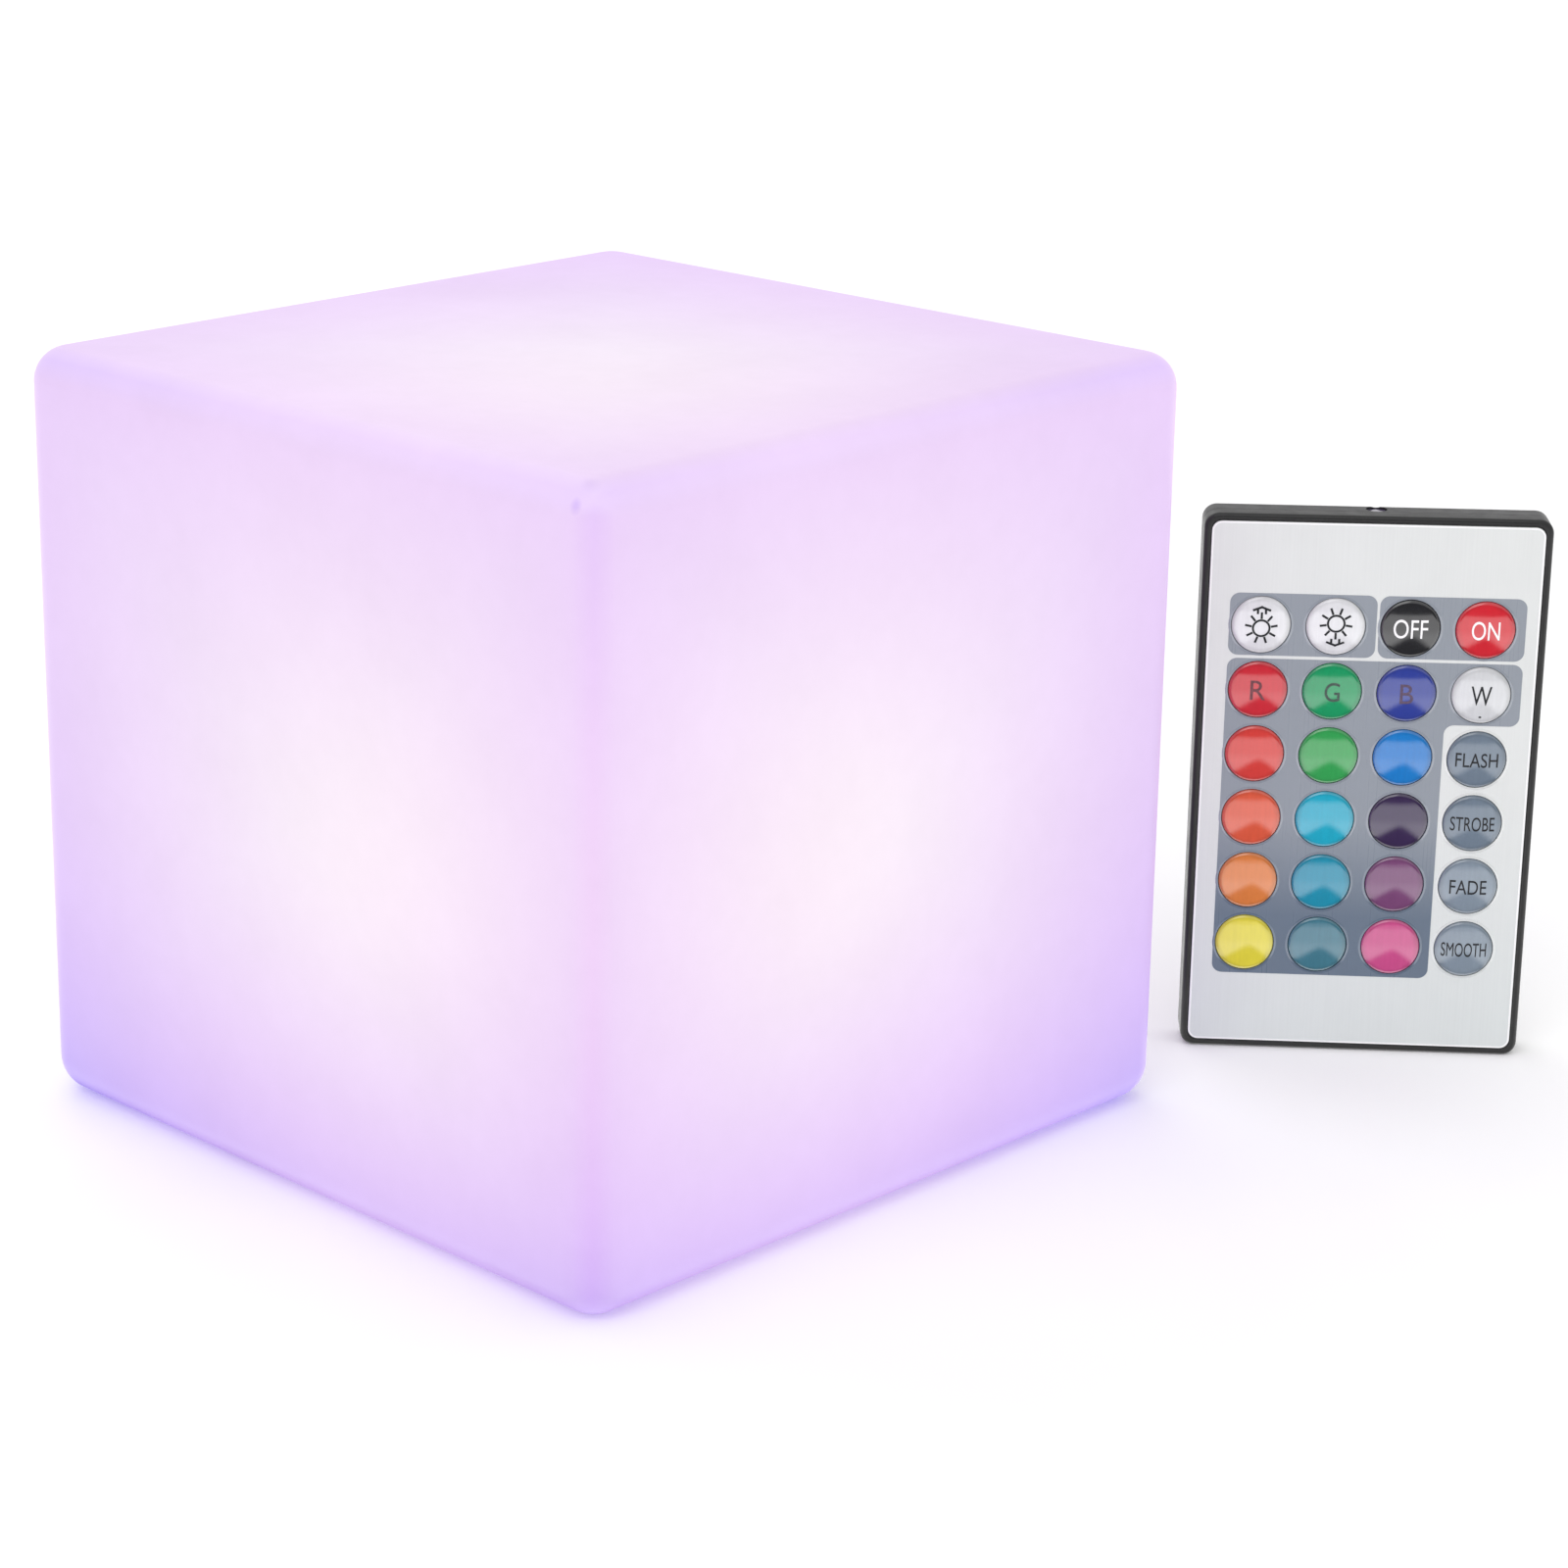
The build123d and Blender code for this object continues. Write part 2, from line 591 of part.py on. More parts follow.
# ---------------------------------------------------------------- write every sub-part
CUBE_PARTS = {
    "cube_shell": cube_shell,
    "base_cover": base_cover,
    "base_seal": base_seal,
    "control_board": control_board,
    "control_chips": control_chips,
    "battery_cradle": battery_cradle,
    "battery_cell": battery_cell,
    "battery_tabs": battery_tabs,
    "led_board": led_board,
    "led_packages": led_packages,
    "ir_receiver": ir_receiver,
    "frosted_lens": frosted_lens,
    "power_button": power_button,
    "power_switch": power_switch,
    "charge_socket": charge_socket,
    "port_cover": port_cover,
}
REMOTE_PARTS = {
    "remote_frame": remote_frame,
    "remote_back_shell": remote_back_shell,
    "face_plate": face_plate,
    "keypad_mat": keypad_mat,
    "remote_board": remote_board,
    "remote_chip": remote_chip,
    "ir_emitter": ir_emitter,
    "cell_contacts": cell_contacts,
    "battery_tray": battery_tray,
    "coin_cell": coin_cell,
}

os.makedirs("parts", exist_ok=True)
for node, make in CUBE_PARTS.items():
    save(make(), node)
for node, make in REMOTE_PARTS.items():
    save(stand(make()), node)
for name, key_x, key_y in key_places():
    save(stand(Pos(key_x, key_y) * key_cap()), f"key_{name}")
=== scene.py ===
"""Looks of the cube light and its card remote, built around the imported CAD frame."""

import json
from math import atan2, cos, degrees, hypot, pi, radians, sin

import bmesh
import bpy
from mathutils import Matrix, Vector
from mathutils.geometry import tessellate_polygon


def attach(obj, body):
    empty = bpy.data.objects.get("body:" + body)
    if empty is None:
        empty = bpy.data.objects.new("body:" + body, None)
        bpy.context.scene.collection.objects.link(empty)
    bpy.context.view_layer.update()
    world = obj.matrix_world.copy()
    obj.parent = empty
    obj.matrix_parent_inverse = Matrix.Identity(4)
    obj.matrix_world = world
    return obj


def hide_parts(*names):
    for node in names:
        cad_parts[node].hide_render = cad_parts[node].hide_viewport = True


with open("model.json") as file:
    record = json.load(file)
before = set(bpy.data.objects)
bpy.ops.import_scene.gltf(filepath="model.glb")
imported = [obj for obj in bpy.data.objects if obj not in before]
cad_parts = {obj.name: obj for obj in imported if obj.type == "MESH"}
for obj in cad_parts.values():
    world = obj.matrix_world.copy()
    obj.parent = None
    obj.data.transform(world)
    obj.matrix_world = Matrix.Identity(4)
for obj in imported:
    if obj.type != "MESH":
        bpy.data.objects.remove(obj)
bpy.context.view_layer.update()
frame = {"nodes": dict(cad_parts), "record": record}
frame_slots = {entry["node"]: entry["material_slot"] for entry in frame["record"]["subparts"]}

MM = 0.001

# ---------------------------------------------------------------- sizes, in millimetres
CUBE_HALF = 60.0
CUBE_HEIGHT = 115.0
SIDE_RADIUS = 6.0
TOP_RADIUS = 5.1
TOP_CORNER = SIDE_RADIUS - TOP_RADIUS
BOTTOM_RADIUS = 5.8
SHELL_WALL = 3.0
RECESS_RADIUS = 36.8
RECESS_DEPTH = 2.8
RECESS_EDGE = 0.4
RECESS_ROUND = 0.12
MOUTH_RADIUS = 30.0
LEDGE_TOP = 5.2
BOSS_RADIUS = 39.8

REMOTE_X = 68.7
REMOTE_Y = 95.7
REMOTE_TURN = 41.0
REMOTE_HALF_WIDTH = 26.0
REMOTE_HEIGHT = 86.0
REMOTE_BACK = -6.8
SPLIT_DEPTH = -3.05
CORNER_RADIUS = 2.2
RIM_WIDTH = 1.1
RIM_LIP = 0.58
RIM_CORNER = 1.6
PLATE_BACK = -0.8
PLATE_GAP = 0.06
PLATE_CORNER = 1.55
PLATE_BEVEL = 0.06
PLATE_LEDGE = 2.0
LEDGE_CORNER = 0.7
FILM_RISE = 0.03
KEY_BACK = -1.3
KEY_RADIUS = 4.45
KEY_TIP = 0.05
HOLE_RADIUS = 4.65
KEY_EDGE = 0.2
KEY_CROWN = 0.7
COLUMN_PITCH = 11.2
ROW_PITCH = 10.25
TOP_ROW = 68.75
# How far the marks on the remote's back stand out, and how deep they are rooted
BACK_RELIEF = 0.25
BACK_ROOT = 0.05
# Thickness of every printed line, and how far one stands above a key and above a flat ground
PRINT_DEPTH = 0.04
KEY_PRINT_RISE = 0.015
FLAT_PRINT_RISE = 0.01

KEY_ROWS = [
    ["brightness_up", "brightness_down", "off", "on"],
    ["red", "green", "blue", "white"],
    ["light_red", "light_green", "azure", "flash"],
    ["coral", "cyan", "purple", "strobe"],
    ["orange", "sky_blue", "plum", "fade"],
    ["yellow", "teal", "pink", "smooth"],
]
# Keys that stand beside the grey panels, on the bare plate
BARE_KEYS = ["flash", "strobe", "fade", "smooth"]

# ---------------------------------------------------------------- colours, in 0 to 255 screen values
PALE = (222, 223, 225)
GREY = (108, 123, 138)
LIGHT_GREY = (127, 141, 154)
KEY_COLOURS = {
    "brightness_up": PALE, "brightness_down": PALE, "white": (208, 210, 212),
    "flash": GREY, "strobe": GREY, "fade": LIGHT_GREY, "smooth": LIGHT_GREY,
    "off": (28, 28, 32), "on": (206, 28, 44),
    "red": (202, 34, 50), "green": (4, 150, 92), "blue": (40, 58, 148),
    "light_red": (210, 58, 52), "light_green": (44, 158, 78), "azure": (10, 120, 196),
    "coral": (216, 86, 56), "cyan": (16, 166, 192), "purple": (50, 30, 74),
    "orange": (216, 124, 58), "sky_blue": (14, 140, 168), "plum": (116, 64, 110),
    "yellow": (222, 210, 58), "teal": (60, 117, 134), "pink": (198, 74, 133),
}
WHITE_INK = (246, 246, 246)
DARK_INK = (28, 30, 34)
MARK_INK = (120, 122, 128)
# Words on the keys: text, letter height, width across and colour
LABELS = {
    "off": ("OFF", 2.95, 5.15, WHITE_INK),
    "on": ("ON", 2.9, 4.2, WHITE_INK),
    "red": ("R", 3.05, 2.3, (112, 66, 72)),
    "green": ("G", 3.0, 2.3, (68, 86, 78)),
    "blue": ("B", 3.05, 2.0, (90, 74, 96)),
    "white": ("W", 3.0, 3.1, DARK_INK),
    "flash": ("FLASH", 2.25, 6.4, DARK_INK),
    "strobe": ("STROBE", 2.25, 6.7, DARK_INK),
    "fade": ("FADE", 2.25, 5.6, DARK_INK),
    "smooth": ("SMOOTH", 2.25, 6.9, DARK_INK),
}
# Printed films: colour at the top and at the foot, which is darker as painted shade, and the heights
# between which it changes
SILVER_FILM = ((217, 220, 218), (210, 215, 214), 6.0, 44.0)
PANEL_FILM = ((136, 143, 152), (86, 102, 121), 22.0, 38.0)
PANEL_LIP_FILM = ((140, 147, 156), (92, 108, 126), 22.0, 38.0)
# Materials of the CAD nodes that still show, by slot
FINISHES = {
    "module_white": dict(colour=(222, 222, 224), roughness=0.5, grain=0.4, depth=0.03),
    "seal_rubber": dict(colour=(40, 40, 42), roughness=0.75),
    "circuit_board": dict(
        colour=(24, 92, 52), roughness=0.35, grain=1.2, depth=0.02, spread=0.25, coat=0.4),
    "chip_black": dict(colour=(32, 32, 34), roughness=0.5, grain=0.3, depth=0.03),
    "cell_wrap": dict(
        colour=(44, 92, 150), roughness=0.25, grain=3.0, depth=0.03, spread=0.1, coat=0.5),
    "nickel": dict(
        colour=(190, 186, 178), roughness=0.3, grain=0.8, depth=0.01, spread=0.1, metallic=1.0),
    "led_board_white": dict(colour=(228, 228, 224), roughness=0.4, grain=1.0, depth=0.02),
    "led_yellow": dict(
        colour=(230, 222, 186), roughness=0.25, grain=0.6, depth=0.02, spread=0.1, coat=0.5),
    "frosted_white": dict(colour=(232, 232, 238), roughness=0.55, grain=0.3, depth=0.04),
    "button_rubber": dict(colour=(168, 172, 178), roughness=0.7, grain=0.35, depth=0.03),
    "flap_rubber": dict(colour=(198, 198, 200), roughness=0.7, grain=0.35, depth=0.03),
    "remote_black": dict(colour=(26, 26, 28), roughness=0.42, grain=0.25, depth=0.02, spread=0.15),
    "mat_rubber": dict(colour=(186, 186, 186), roughness=0.75, grain=0.4, depth=0.03),
    "emitter_clear": dict(
        colour=(74, 66, 92), roughness=0.12, grain=1.5, depth=0.005, spread=0.1, coat=0.8),
    "coin_steel": dict(
        colour=(188, 188, 188), roughness=0.28, grain=0.5, depth=0.002, spread=0.05, metallic=1.0),
}
# Most of a noise's values lie between these two
NOISE_SPAN = (0.3, 0.7)

# From the remote's own directions, which are right, up and out of its face, to the frame's
remote_matrix = Matrix.Translation((REMOTE_X * MM, REMOTE_Y * MM, 0)) @ Matrix((
    (cos(radians(REMOTE_TURN)), 0, sin(radians(REMOTE_TURN)), 0),
    (sin(radians(REMOTE_TURN)), 0, -cos(radians(REMOTE_TURN)), 0),
    (0, 1, 0, 0),
    (0, 0, 0, 1),
))


# ---------------------------------------------------------------- node helpers
def linear(colour):
    """A colour given in 0 to 255 screen values, as the linear values that a shader takes."""
    parts = [c / 255 for c in colour]
    return tuple(c / 12.92 if c <= 0.04045 else ((c + 0.055) / 1.055) ** 2.4 for c in parts)


class Tree:
    """A short way to write the nodes of a new material, or of a world."""

    def __init__(self, name="", world=None):
        self.material = world or bpy.data.materials.new(name)
        self.material.use_nodes = True
        self.nodes = self.material.node_tree.nodes
        self.links = self.material.node_tree.links
        self.shader = self.nodes.get("Principled BSDF")

    def put(self, socket, value):
        """Link another socket to this one, or set its own value."""
        if isinstance(value, bpy.types.NodeSocket):
            self.links.new(value, socket)
        elif isinstance(value, (tuple, list)) and socket.type == "RGBA":
            socket.default_value = (*value[:3], 1.0)
        else:
            socket.default_value = value

    def node(self, kind, settings=None, **inputs):
        """A new node with its settings and its inputs, where _ stands for a space in a name."""
        made = self.nodes.new(kind)
        for key, value in (settings or {}).items():
            setattr(made, key, value)
        for key, value in inputs.items():
            self.put(made.inputs[key.replace("_", " ")], value)
        return made

    def math(self, operation, a, b=0.0):
        made = self.nodes.new("ShaderNodeMath")
        made.operation = operation
        self.put(made.inputs[0], a)
        self.put(made.inputs[1], b)
        return made.outputs[0]

    def vector(self, operation, a, b=(0.0, 0.0, 0.0), scale=None):
        made = self.nodes.new("ShaderNodeVectorMath")
        made.operation = operation
        self.put(made.inputs[0], a)
        if scale is None:
            self.put(made.inputs[1], b)
        else:
            self.put(made.inputs[3], scale)
        if operation in ("DOT_PRODUCT", "LENGTH"):
            return made.outputs[1]
        return made.outputs[0]

    def ramp(self, value, low, high, low_to=0.0, high_to=1.0):
        """A value that runs from low to high, brought to another range and held at its ends."""
        made = self.nodes.new("ShaderNodeMapRange")
        for index, given in enumerate((value, low, high, low_to, high_to)):
            self.put(made.inputs[index], given)
        return made.outputs[0]

    def mix(self, factor, a, b):
        """A blend of two colours."""
        made = self.nodes.new("ShaderNodeMix")
        made.data_type = "RGBA"
        for index, given in ((0, factor), (6, a), (7, b)):
            self.put(made.inputs[index], given)
        return made.outputs[2]

    def place(self):
        """The point's place, in metres."""
        return self.node("ShaderNodeTexCoord").outputs["Object"]

    def remote_place(self, scale=(1.0, 1.0, 1.0)):
        """The point's place in the remote's own directions: right, up and out of its face."""
        turned = self.node(
            "ShaderNodeMapping", {"vector_type": "TEXTURE"}, Vector=self.place(),
            Location=(REMOTE_X * MM, REMOTE_Y * MM, 0), Rotation=(pi / 2, 0, radians(REMOTE_TURN)),
        ).outputs[0]
        return self.vector("MULTIPLY", turned, scale)

    def noise(self, size, detail=3.0, where=None):
        """Noise whose features are about size millimetres across."""
        spot = where if where is not None else self.place()
        made = self.node("ShaderNodeTexNoise", Vector=spot, Scale=1 / (size * MM), Detail=detail)
        return made.outputs[0]

    def bump(self, height, distance, strength=1.0, under=None):
        """A bent normal from a height map, laid over another one if there is one under it."""
        made = self.node("ShaderNodeBump", Height=height, Distance=distance * MM, Strength=strength)
        if under is not None:
            self.put(made.inputs["Normal"], under)
        return made.outputs[0]

    def finish(self, **inputs):
        """Set the shader's inputs and give the material back."""
        for key, value in inputs.items():
            self.put(self.shader.inputs[key.replace("_", " ")], value)
        return self.material


# ---------------------------------------------------------------- glow of the shell
# Where the light inside the cube seems to sit, in metres, and how fast it falls off
GLOW_SPOT = (0.0176, -0.0160, 0.0515)
GLOW_REACH = 0.060
GLOW_FALL = 1.39
GLOW_BASE = (0.787, 0.629, 0.972)
GLOW_GAIN = (0.205, 0.255, 0.008)
# What the walls lose low down, at the very foot, low down and far from the light, near a rim,
# and on the rim
FOOT_LOSS = (0.135, 0.181, 0.000)
FOOT_POWER = 3.15
SOLE_LOSS = (0.055, -0.020, 0.000)
SOLE_POWER = 14.0
FAR_LOSS = (0.180, 0.045, 0.000)
FAR_POWER = 1.33
FAR_LIMIT = 0.62
RIM_LOSS = (0.008, 0.072, 0.000)
EDGE_LOSS = (-0.020, 0.036, -0.004)
EDGE_START = 0.93
# What a rim loses far from the light, and the painted light that brightens the rounded top edges
FAR_EDGE_LOSS = (0.200, 0.120, 0.000)
ROUND_GAIN = (0.062, 0.078, 0.068)
ROUND_PEAK = 6.75
# The plastic's own colour, and the studio light that it sends back: on a wall that faces
# halfway between the two front walls, what it gains to the left, and what it gains facing up
SHELL_COLOUR = (0.30, 0.26, 0.36)
SHELL_LIGHT = (0.396, 0.347, 0.458)
LIGHT_LEFT = (0.020, 0.017, 0.023)
LIGHT_ABOVE = (0.076, 0.066, 0.055)
# A small purple moulding mark by the top of the front edge, and a fainter one above it: place
# and radius in metres, and loss. Each is a little taller than wide, and fades between two
# shares of its radius.
MARKS = [
    ((0.0560, -0.0592, 0.1120), 0.00050, (0.12, 0.12, 0.03)),
    ((0.0561, -0.0567, 0.1144), 0.00080, (0.05, 0.05, 0.03)),
]
MARK_SQUEEZE = (1, 1, 0.6)
MARK_CORE = 0.4
MARK_END = 1.8


def nearness_to_rim(t, spot):
    """0 in the middle of a side and 1 on the cube's edges."""
    spread = t.vector("ABSOLUTE", t.vector("SUBTRACT", spot, (0, 0, CUBE_HEIGHT / 2 * MM)))
    halves = (1 / (CUBE_HALF * MM), 1 / (CUBE_HALF * MM), 2 / (CUBE_HEIGHT * MM))
    x, y, z = t.node("ShaderNodeSeparateXYZ", Vector=t.vector("MULTIPLY", spread, halves)).outputs
    largest = t.math("MAXIMUM", t.math("MAXIMUM", x, y), z)
    smallest = t.math("MINIMUM", t.math("MINIMUM", x, y), z)
    total = t.math("ADD", t.math("ADD", x, y), z)
    return t.math("SUBTRACT", t.math("SUBTRACT", total, largest), smallest)


def glow_losses(t, spot, reach):
    """What the glow loses over the walls, as pairs of a colour and its share at the point."""
    near_rim = nearness_to_rim(t, spot)
    near_edge = t.ramp(near_rim, EDGE_START, 1.0)
    low = t.node("ShaderNodeSeparateXYZ", Vector=spot).outputs[2]
    depth = t.ramp(low, 0.0, CUBE_HEIGHT * MM, 1.0, 0.0)
    beyond = t.math("SUBTRACT", t.math("DIVIDE", reach, GLOW_REACH), 1.0)
    beyond = t.math("MINIMUM", t.math("MAXIMUM", beyond, 0.0), FAR_LIMIT)
    losses = [
        (FOOT_LOSS, t.math("POWER", depth, FOOT_POWER)),
        (SOLE_LOSS, t.math("POWER", depth, SOLE_POWER)),
        (FAR_LOSS, t.math("POWER", t.math("MULTIPLY", depth, beyond), FAR_POWER)),
        (RIM_LOSS, near_rim),
        (EDGE_LOSS, near_edge),
        (FAR_EDGE_LOSS, t.math("MULTIPLY", near_edge, beyond)),
    ]
    for centre, radius, loss in MARKS:
        offset = t.vector("MULTIPLY", t.vector("SUBTRACT", spot, centre), MARK_SQUEEZE)
        away = t.vector("LENGTH", offset)
        losses.append((loss, t.ramp(away, radius * MARK_CORE, radius * MARK_END, 1.0, 0.0)))
    return losses


def without_studio_light(t, glow, normal):
    """The glow less what the studio light adds, so that a wall comes out as bright as it glows."""
    across, along, upward = t.node("ShaderNodeSeparateXYZ", Vector=normal).outputs
    leftward = t.math("MULTIPLY", t.math("ADD", across, along), -1.0)
    rise = t.math("MAXIMUM", upward, 0.0)
    glow = t.vector("SUBTRACT", glow, SHELL_LIGHT)
    glow = t.vector("SUBTRACT", glow, t.vector("SCALE", LIGHT_LEFT, scale=leftward))
    return t.vector("SUBTRACT", glow, t.vector("SCALE", LIGHT_ABOVE, scale=rise))


def painted_rounding_light(t, normal):
    """Painted light on the rounded top edges: all of it two thirds of the way from a side to the top."""
    upward = t.node("ShaderNodeSeparateXYZ", Vector=normal).outputs[2]
    rise = t.math("MAXIMUM", upward, 0.0)
    rounding = t.math("MULTIPLY", t.math("MULTIPLY", rise, rise), t.math("SUBTRACT", 1.0, rise))
    return t.vector("SCALE", ROUND_GAIN, scale=t.math("MULTIPLY", rounding, ROUND_PEAK))


def glow_shell_material():
    """Waxy plastic lit from inside, brightest where a wall is nearest to the light."""
    t = Tree("glow_shell")
    coords = t.node("ShaderNodeTexCoord")
    spot, normal = coords.outputs["Object"], coords.outputs["Normal"]
    ray = t.vector("SUBTRACT", spot, GLOW_SPOT)
    reach = t.vector("LENGTH", ray)
    squared = t.vector("MULTIPLY", normal, t.vector("ABSOLUTE", normal))
    facing = t.math("DIVIDE", t.vector("DOT_PRODUCT", ray, squared), GLOW_REACH)
    fall = t.math("POWER", t.math("DIVIDE", GLOW_REACH, reach), GLOW_FALL)
    lit = t.math("MULTIPLY", facing, fall)
    glow = t.vector("ADD", GLOW_BASE, t.vector("SCALE", GLOW_GAIN, scale=lit))
    for loss, share in glow_losses(t, spot, reach):
        glow = t.vector("SUBTRACT", glow, t.vector("SCALE", loss, scale=share))

    # The wall's thickness varies a little, in broad soft clouds and fine mottling
    clouds = t.ramp(t.noise(26, 2), *NOISE_SPAN, 0.985, 1.012)
    mottle = t.ramp(t.noise(3.2, 4), *NOISE_SPAN, 0.993, 1.006)
    glow = t.vector("SCALE", glow, scale=t.math("MULTIPLY", clouds, mottle))
    # The rounded top edges get painted light on top of the glow
    glow = t.vector("ADD", without_studio_light(t, glow, normal), painted_rounding_light(t, normal))

    lighter = tuple(c * 1.05 for c in SHELL_COLOUR)
    grain = t.bump(t.noise(0.7, 3), 0.05, 0.25)
    waves = t.bump(t.noise(34, 1), 0.35, 0.5, under=grain)
    return t.finish(
        Base_Color=t.mix(t.ramp(t.noise(14), *NOISE_SPAN), SHELL_COLOUR, lighter),
        Roughness=0.46, Normal=waves, Specular_IOR_Level=0.3,
        Emission_Color=glow, Emission_Strength=1.0,
    )


# ---------------------------------------------------------------- other materials
def moulded(name, colour, roughness=0.45, grain=0.5, depth=0.02, spread=0.06, coat=0.0, metallic=0.0):
    """Moulded plastic, rubber or metal: slight colour drift, uneven gloss and a fine surface grain."""
    t = Tree(name)
    base = linear(colour)
    dark = tuple(c * (1 - spread) for c in base)
    drift = t.ramp(t.noise(9), 0.35, 0.65)
    gloss = t.ramp(t.noise(2.5), *NOISE_SPAN, roughness - 0.05, roughness + 0.05)
    return t.finish(
        Base_Color=t.mix(drift, dark, base), Roughness=gloss, Metallic=metallic, Coat_Weight=coat,
        Coat_Roughness=0.08, Normal=t.bump(t.noise(grain), depth),
    )


def printed_film(name, film, roughness, coat=0.25):
    """Printed film with fine upright brushed lines, and painted shade that darkens it towards its foot."""
    top_colour, foot_colour, low, high = film
    t = Tree(name)
    upright = t.node("ShaderNodeSeparateXYZ", Vector=t.remote_place()).outputs[1]
    # Painted shade: the film runs from its top colour to a darker foot colour
    tone = t.mix(t.ramp(upright, low * MM, high * MM), linear(foot_colour), linear(top_colour))
    lines = t.noise(0.3, 3, t.remote_place((1.0, 0.012, 1.0)))
    broad = t.noise(7.0, 3, t.remote_place((1.0, 0.6, 1.0)))
    streaks = t.ramp(lines, *NOISE_SPAN, -0.015, 0.015)
    shade = t.math("ADD", streaks, t.ramp(broad, *NOISE_SPAN, 0.98, 1.01))
    gloss = t.ramp(lines, *NOISE_SPAN, roughness - 0.04, roughness + 0.06)
    return t.finish(
        Base_Color=t.vector("SCALE", tone, scale=shade), Roughness=gloss,
        Normal=t.bump(lines, 0.006, 0.4), Coat_Weight=coat, Coat_Roughness=0.12,
    )


def key_material(name, colour):
    """Clear dome over a printed colour, with a hard gloss, and painted shade that darkens it towards the
    rim.
    """
    t = Tree(name)
    base = linear(colour)
    # Painted shade: the colour darkens towards the dome's rim
    deep = tuple(c * 0.62 for c in base)
    split = t.node("ShaderNodeSeparateXYZ", Vector=t.remote_place()).outputs
    height = t.ramp(split[2], KEY_EDGE * MM, KEY_CROWN * MM)
    haze = t.ramp(t.noise(2.2), *NOISE_SPAN, -0.06, 0.06)
    tone = t.mix(t.ramp(t.math("ADD", height, haze), -0.1, 0.35), deep, base)
    lines = t.noise(0.45, 3, t.remote_place((1.0, 0.06, 1.0)))
    streaks = t.ramp(lines, *NOISE_SPAN, 0.965, 1.035)
    gloss = t.ramp(t.noise(1.5), *NOISE_SPAN, 0.09, 0.16)
    return t.finish(
        Base_Color=t.vector("SCALE", tone, scale=streaks), Roughness=gloss,
        Coat_Weight=1.0, Coat_Roughness=0.08, Normal=t.bump(lines, 0.01, 0.5),
    )


def ink_material(name, colour):
    """Screen-printed ink, a little uneven."""
    t = Tree(name)
    base = linear(colour)
    worn = tuple(min(c * 1.25 + 0.01, 1.0) for c in base)
    patch = t.ramp(t.noise(0.5), 0.45, 0.75)
    return t.finish(
        Base_Color=t.mix(patch, base, worn), Roughness=0.35, Specular_IOR_Level=0.25,
        Normal=t.bump(t.noise(0.3), 0.004, 0.5),
    )


# ---------------------------------------------------------------- mesh helpers
HOLE_STEPS = 48
MERGE_DISTANCE = 1e-7


def quarter_turn(steps):
    """Angles of an arc's steps, from the first one past 0 up to 90 degrees, in radians."""
    return [radians(90 * step / steps) for step in range(1, steps + 1)]


def rounded_rectangle(half_width, half_height, radius, corner_steps=8, side_steps=6):
    """Points round a rectangle with round corners, always the same number of them."""
    points = []
    corners = [(1, 1, 0), (-1, 1, 90), (-1, -1, 180), (1, -1, 270)]
    for index, (side_x, side_y, start) in enumerate(corners):
        centre = Vector((side_x * (half_width - radius), side_y * (half_height - radius)))
        for step in range(corner_steps + 1):
            angle = radians(start + 90 * step / corner_steps)
            points.append(centre + Vector((cos(angle), sin(angle))) * radius)
        next_x, next_y, next_start = corners[(index + 1) % 4]
        following = Vector((next_x * (half_width - radius), next_y * (half_height - radius)))
        turn = radians(next_start)
        following += Vector((cos(turn), sin(turn))) * radius
        last = points[-1]
        for step in range(1, side_steps):
            points.append(last.lerp(following, step / side_steps))
    return points


def circle(radius, steps, centre=(0.0, 0.0)):
    turns = [2 * pi * step / steps for step in range(steps)]
    return [Vector((centre[0] + radius * cos(a), centre[1] + radius * sin(a))) for a in turns]


def loft(rings, loop=False, start_cap=True, end_cap=True):
    """Vertices and faces of a skin through rings that have the same number of points."""
    count = len(rings[0])
    vertices = [tuple(point) for ring in rings for point in ring]
    faces = []
    pairs = len(rings) if loop else len(rings) - 1
    for row in range(pairs):
        a, b = row * count, (row + 1) % len(rings) * count
        for k in range(count):
            n = (k + 1) % count
            faces.append((a + k, a + n, b + n, b + k))
    if not loop and start_cap:
        faces.append(tuple(reversed(range(count))))
    if not loop and end_cap:
        first = (len(rings) - 1) * count
        faces.append(tuple(range(first, first + count)))
    return vertices, faces


def lathe(profile, steps):
    """A solid of revolution about Z from (radius, height) pairs, closed at both ends."""
    return loft([[(*point, height) for point in circle(radius, steps)] for radius, height in profile])


def joined(parts):
    """Vertices and faces of several parts as one."""
    vertices, faces = [], []
    for more_vertices, more_faces in parts:
        shift = len(vertices)
        vertices += more_vertices
        faces += [tuple(shift + k for k in face) for face in more_faces]
    return vertices, faces


def loose_mesh(name, vertices, faces):
    """Mesh data from points in millimetres."""
    mesh = bpy.data.meshes.new(name)
    mesh.from_pydata([tuple(c * MM for c in v) for v in vertices], [], faces)
    return mesh


def place_mesh(name, mesh, body, material, slot=None, matrix=None, replaces=(), sharp=35):
    """Clean a mesh, give it its material and put it on its body."""
    if matrix is not None:
        mesh.transform(matrix)
    work = bmesh.new()
    work.from_mesh(mesh)
    bmesh.ops.remove_doubles(work, verts=work.verts, dist=MERGE_DISTANCE)
    bmesh.ops.recalc_face_normals(work, faces=work.faces)
    work.to_mesh(mesh)
    work.free()
    mesh.polygons.foreach_set("use_smooth", [True] * len(mesh.polygons))
    mesh.set_sharp_from_angle(angle=radians(sharp))
    made = bpy.data.objects.new(name, mesh)
    bpy.context.scene.collection.objects.link(made)
    mesh.materials.append(material)
    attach(made, body)
    if replaces:
        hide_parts(*replaces)


def piece(name, shape, body, material, slot=None, matrix=None, replaces=(), sharp=35):
    """A named mesh which rides on a body, from its vertices in millimetres and its faces."""
    place_mesh(name, loose_mesh(name, *shape), body, material, slot, matrix, replaces, sharp)


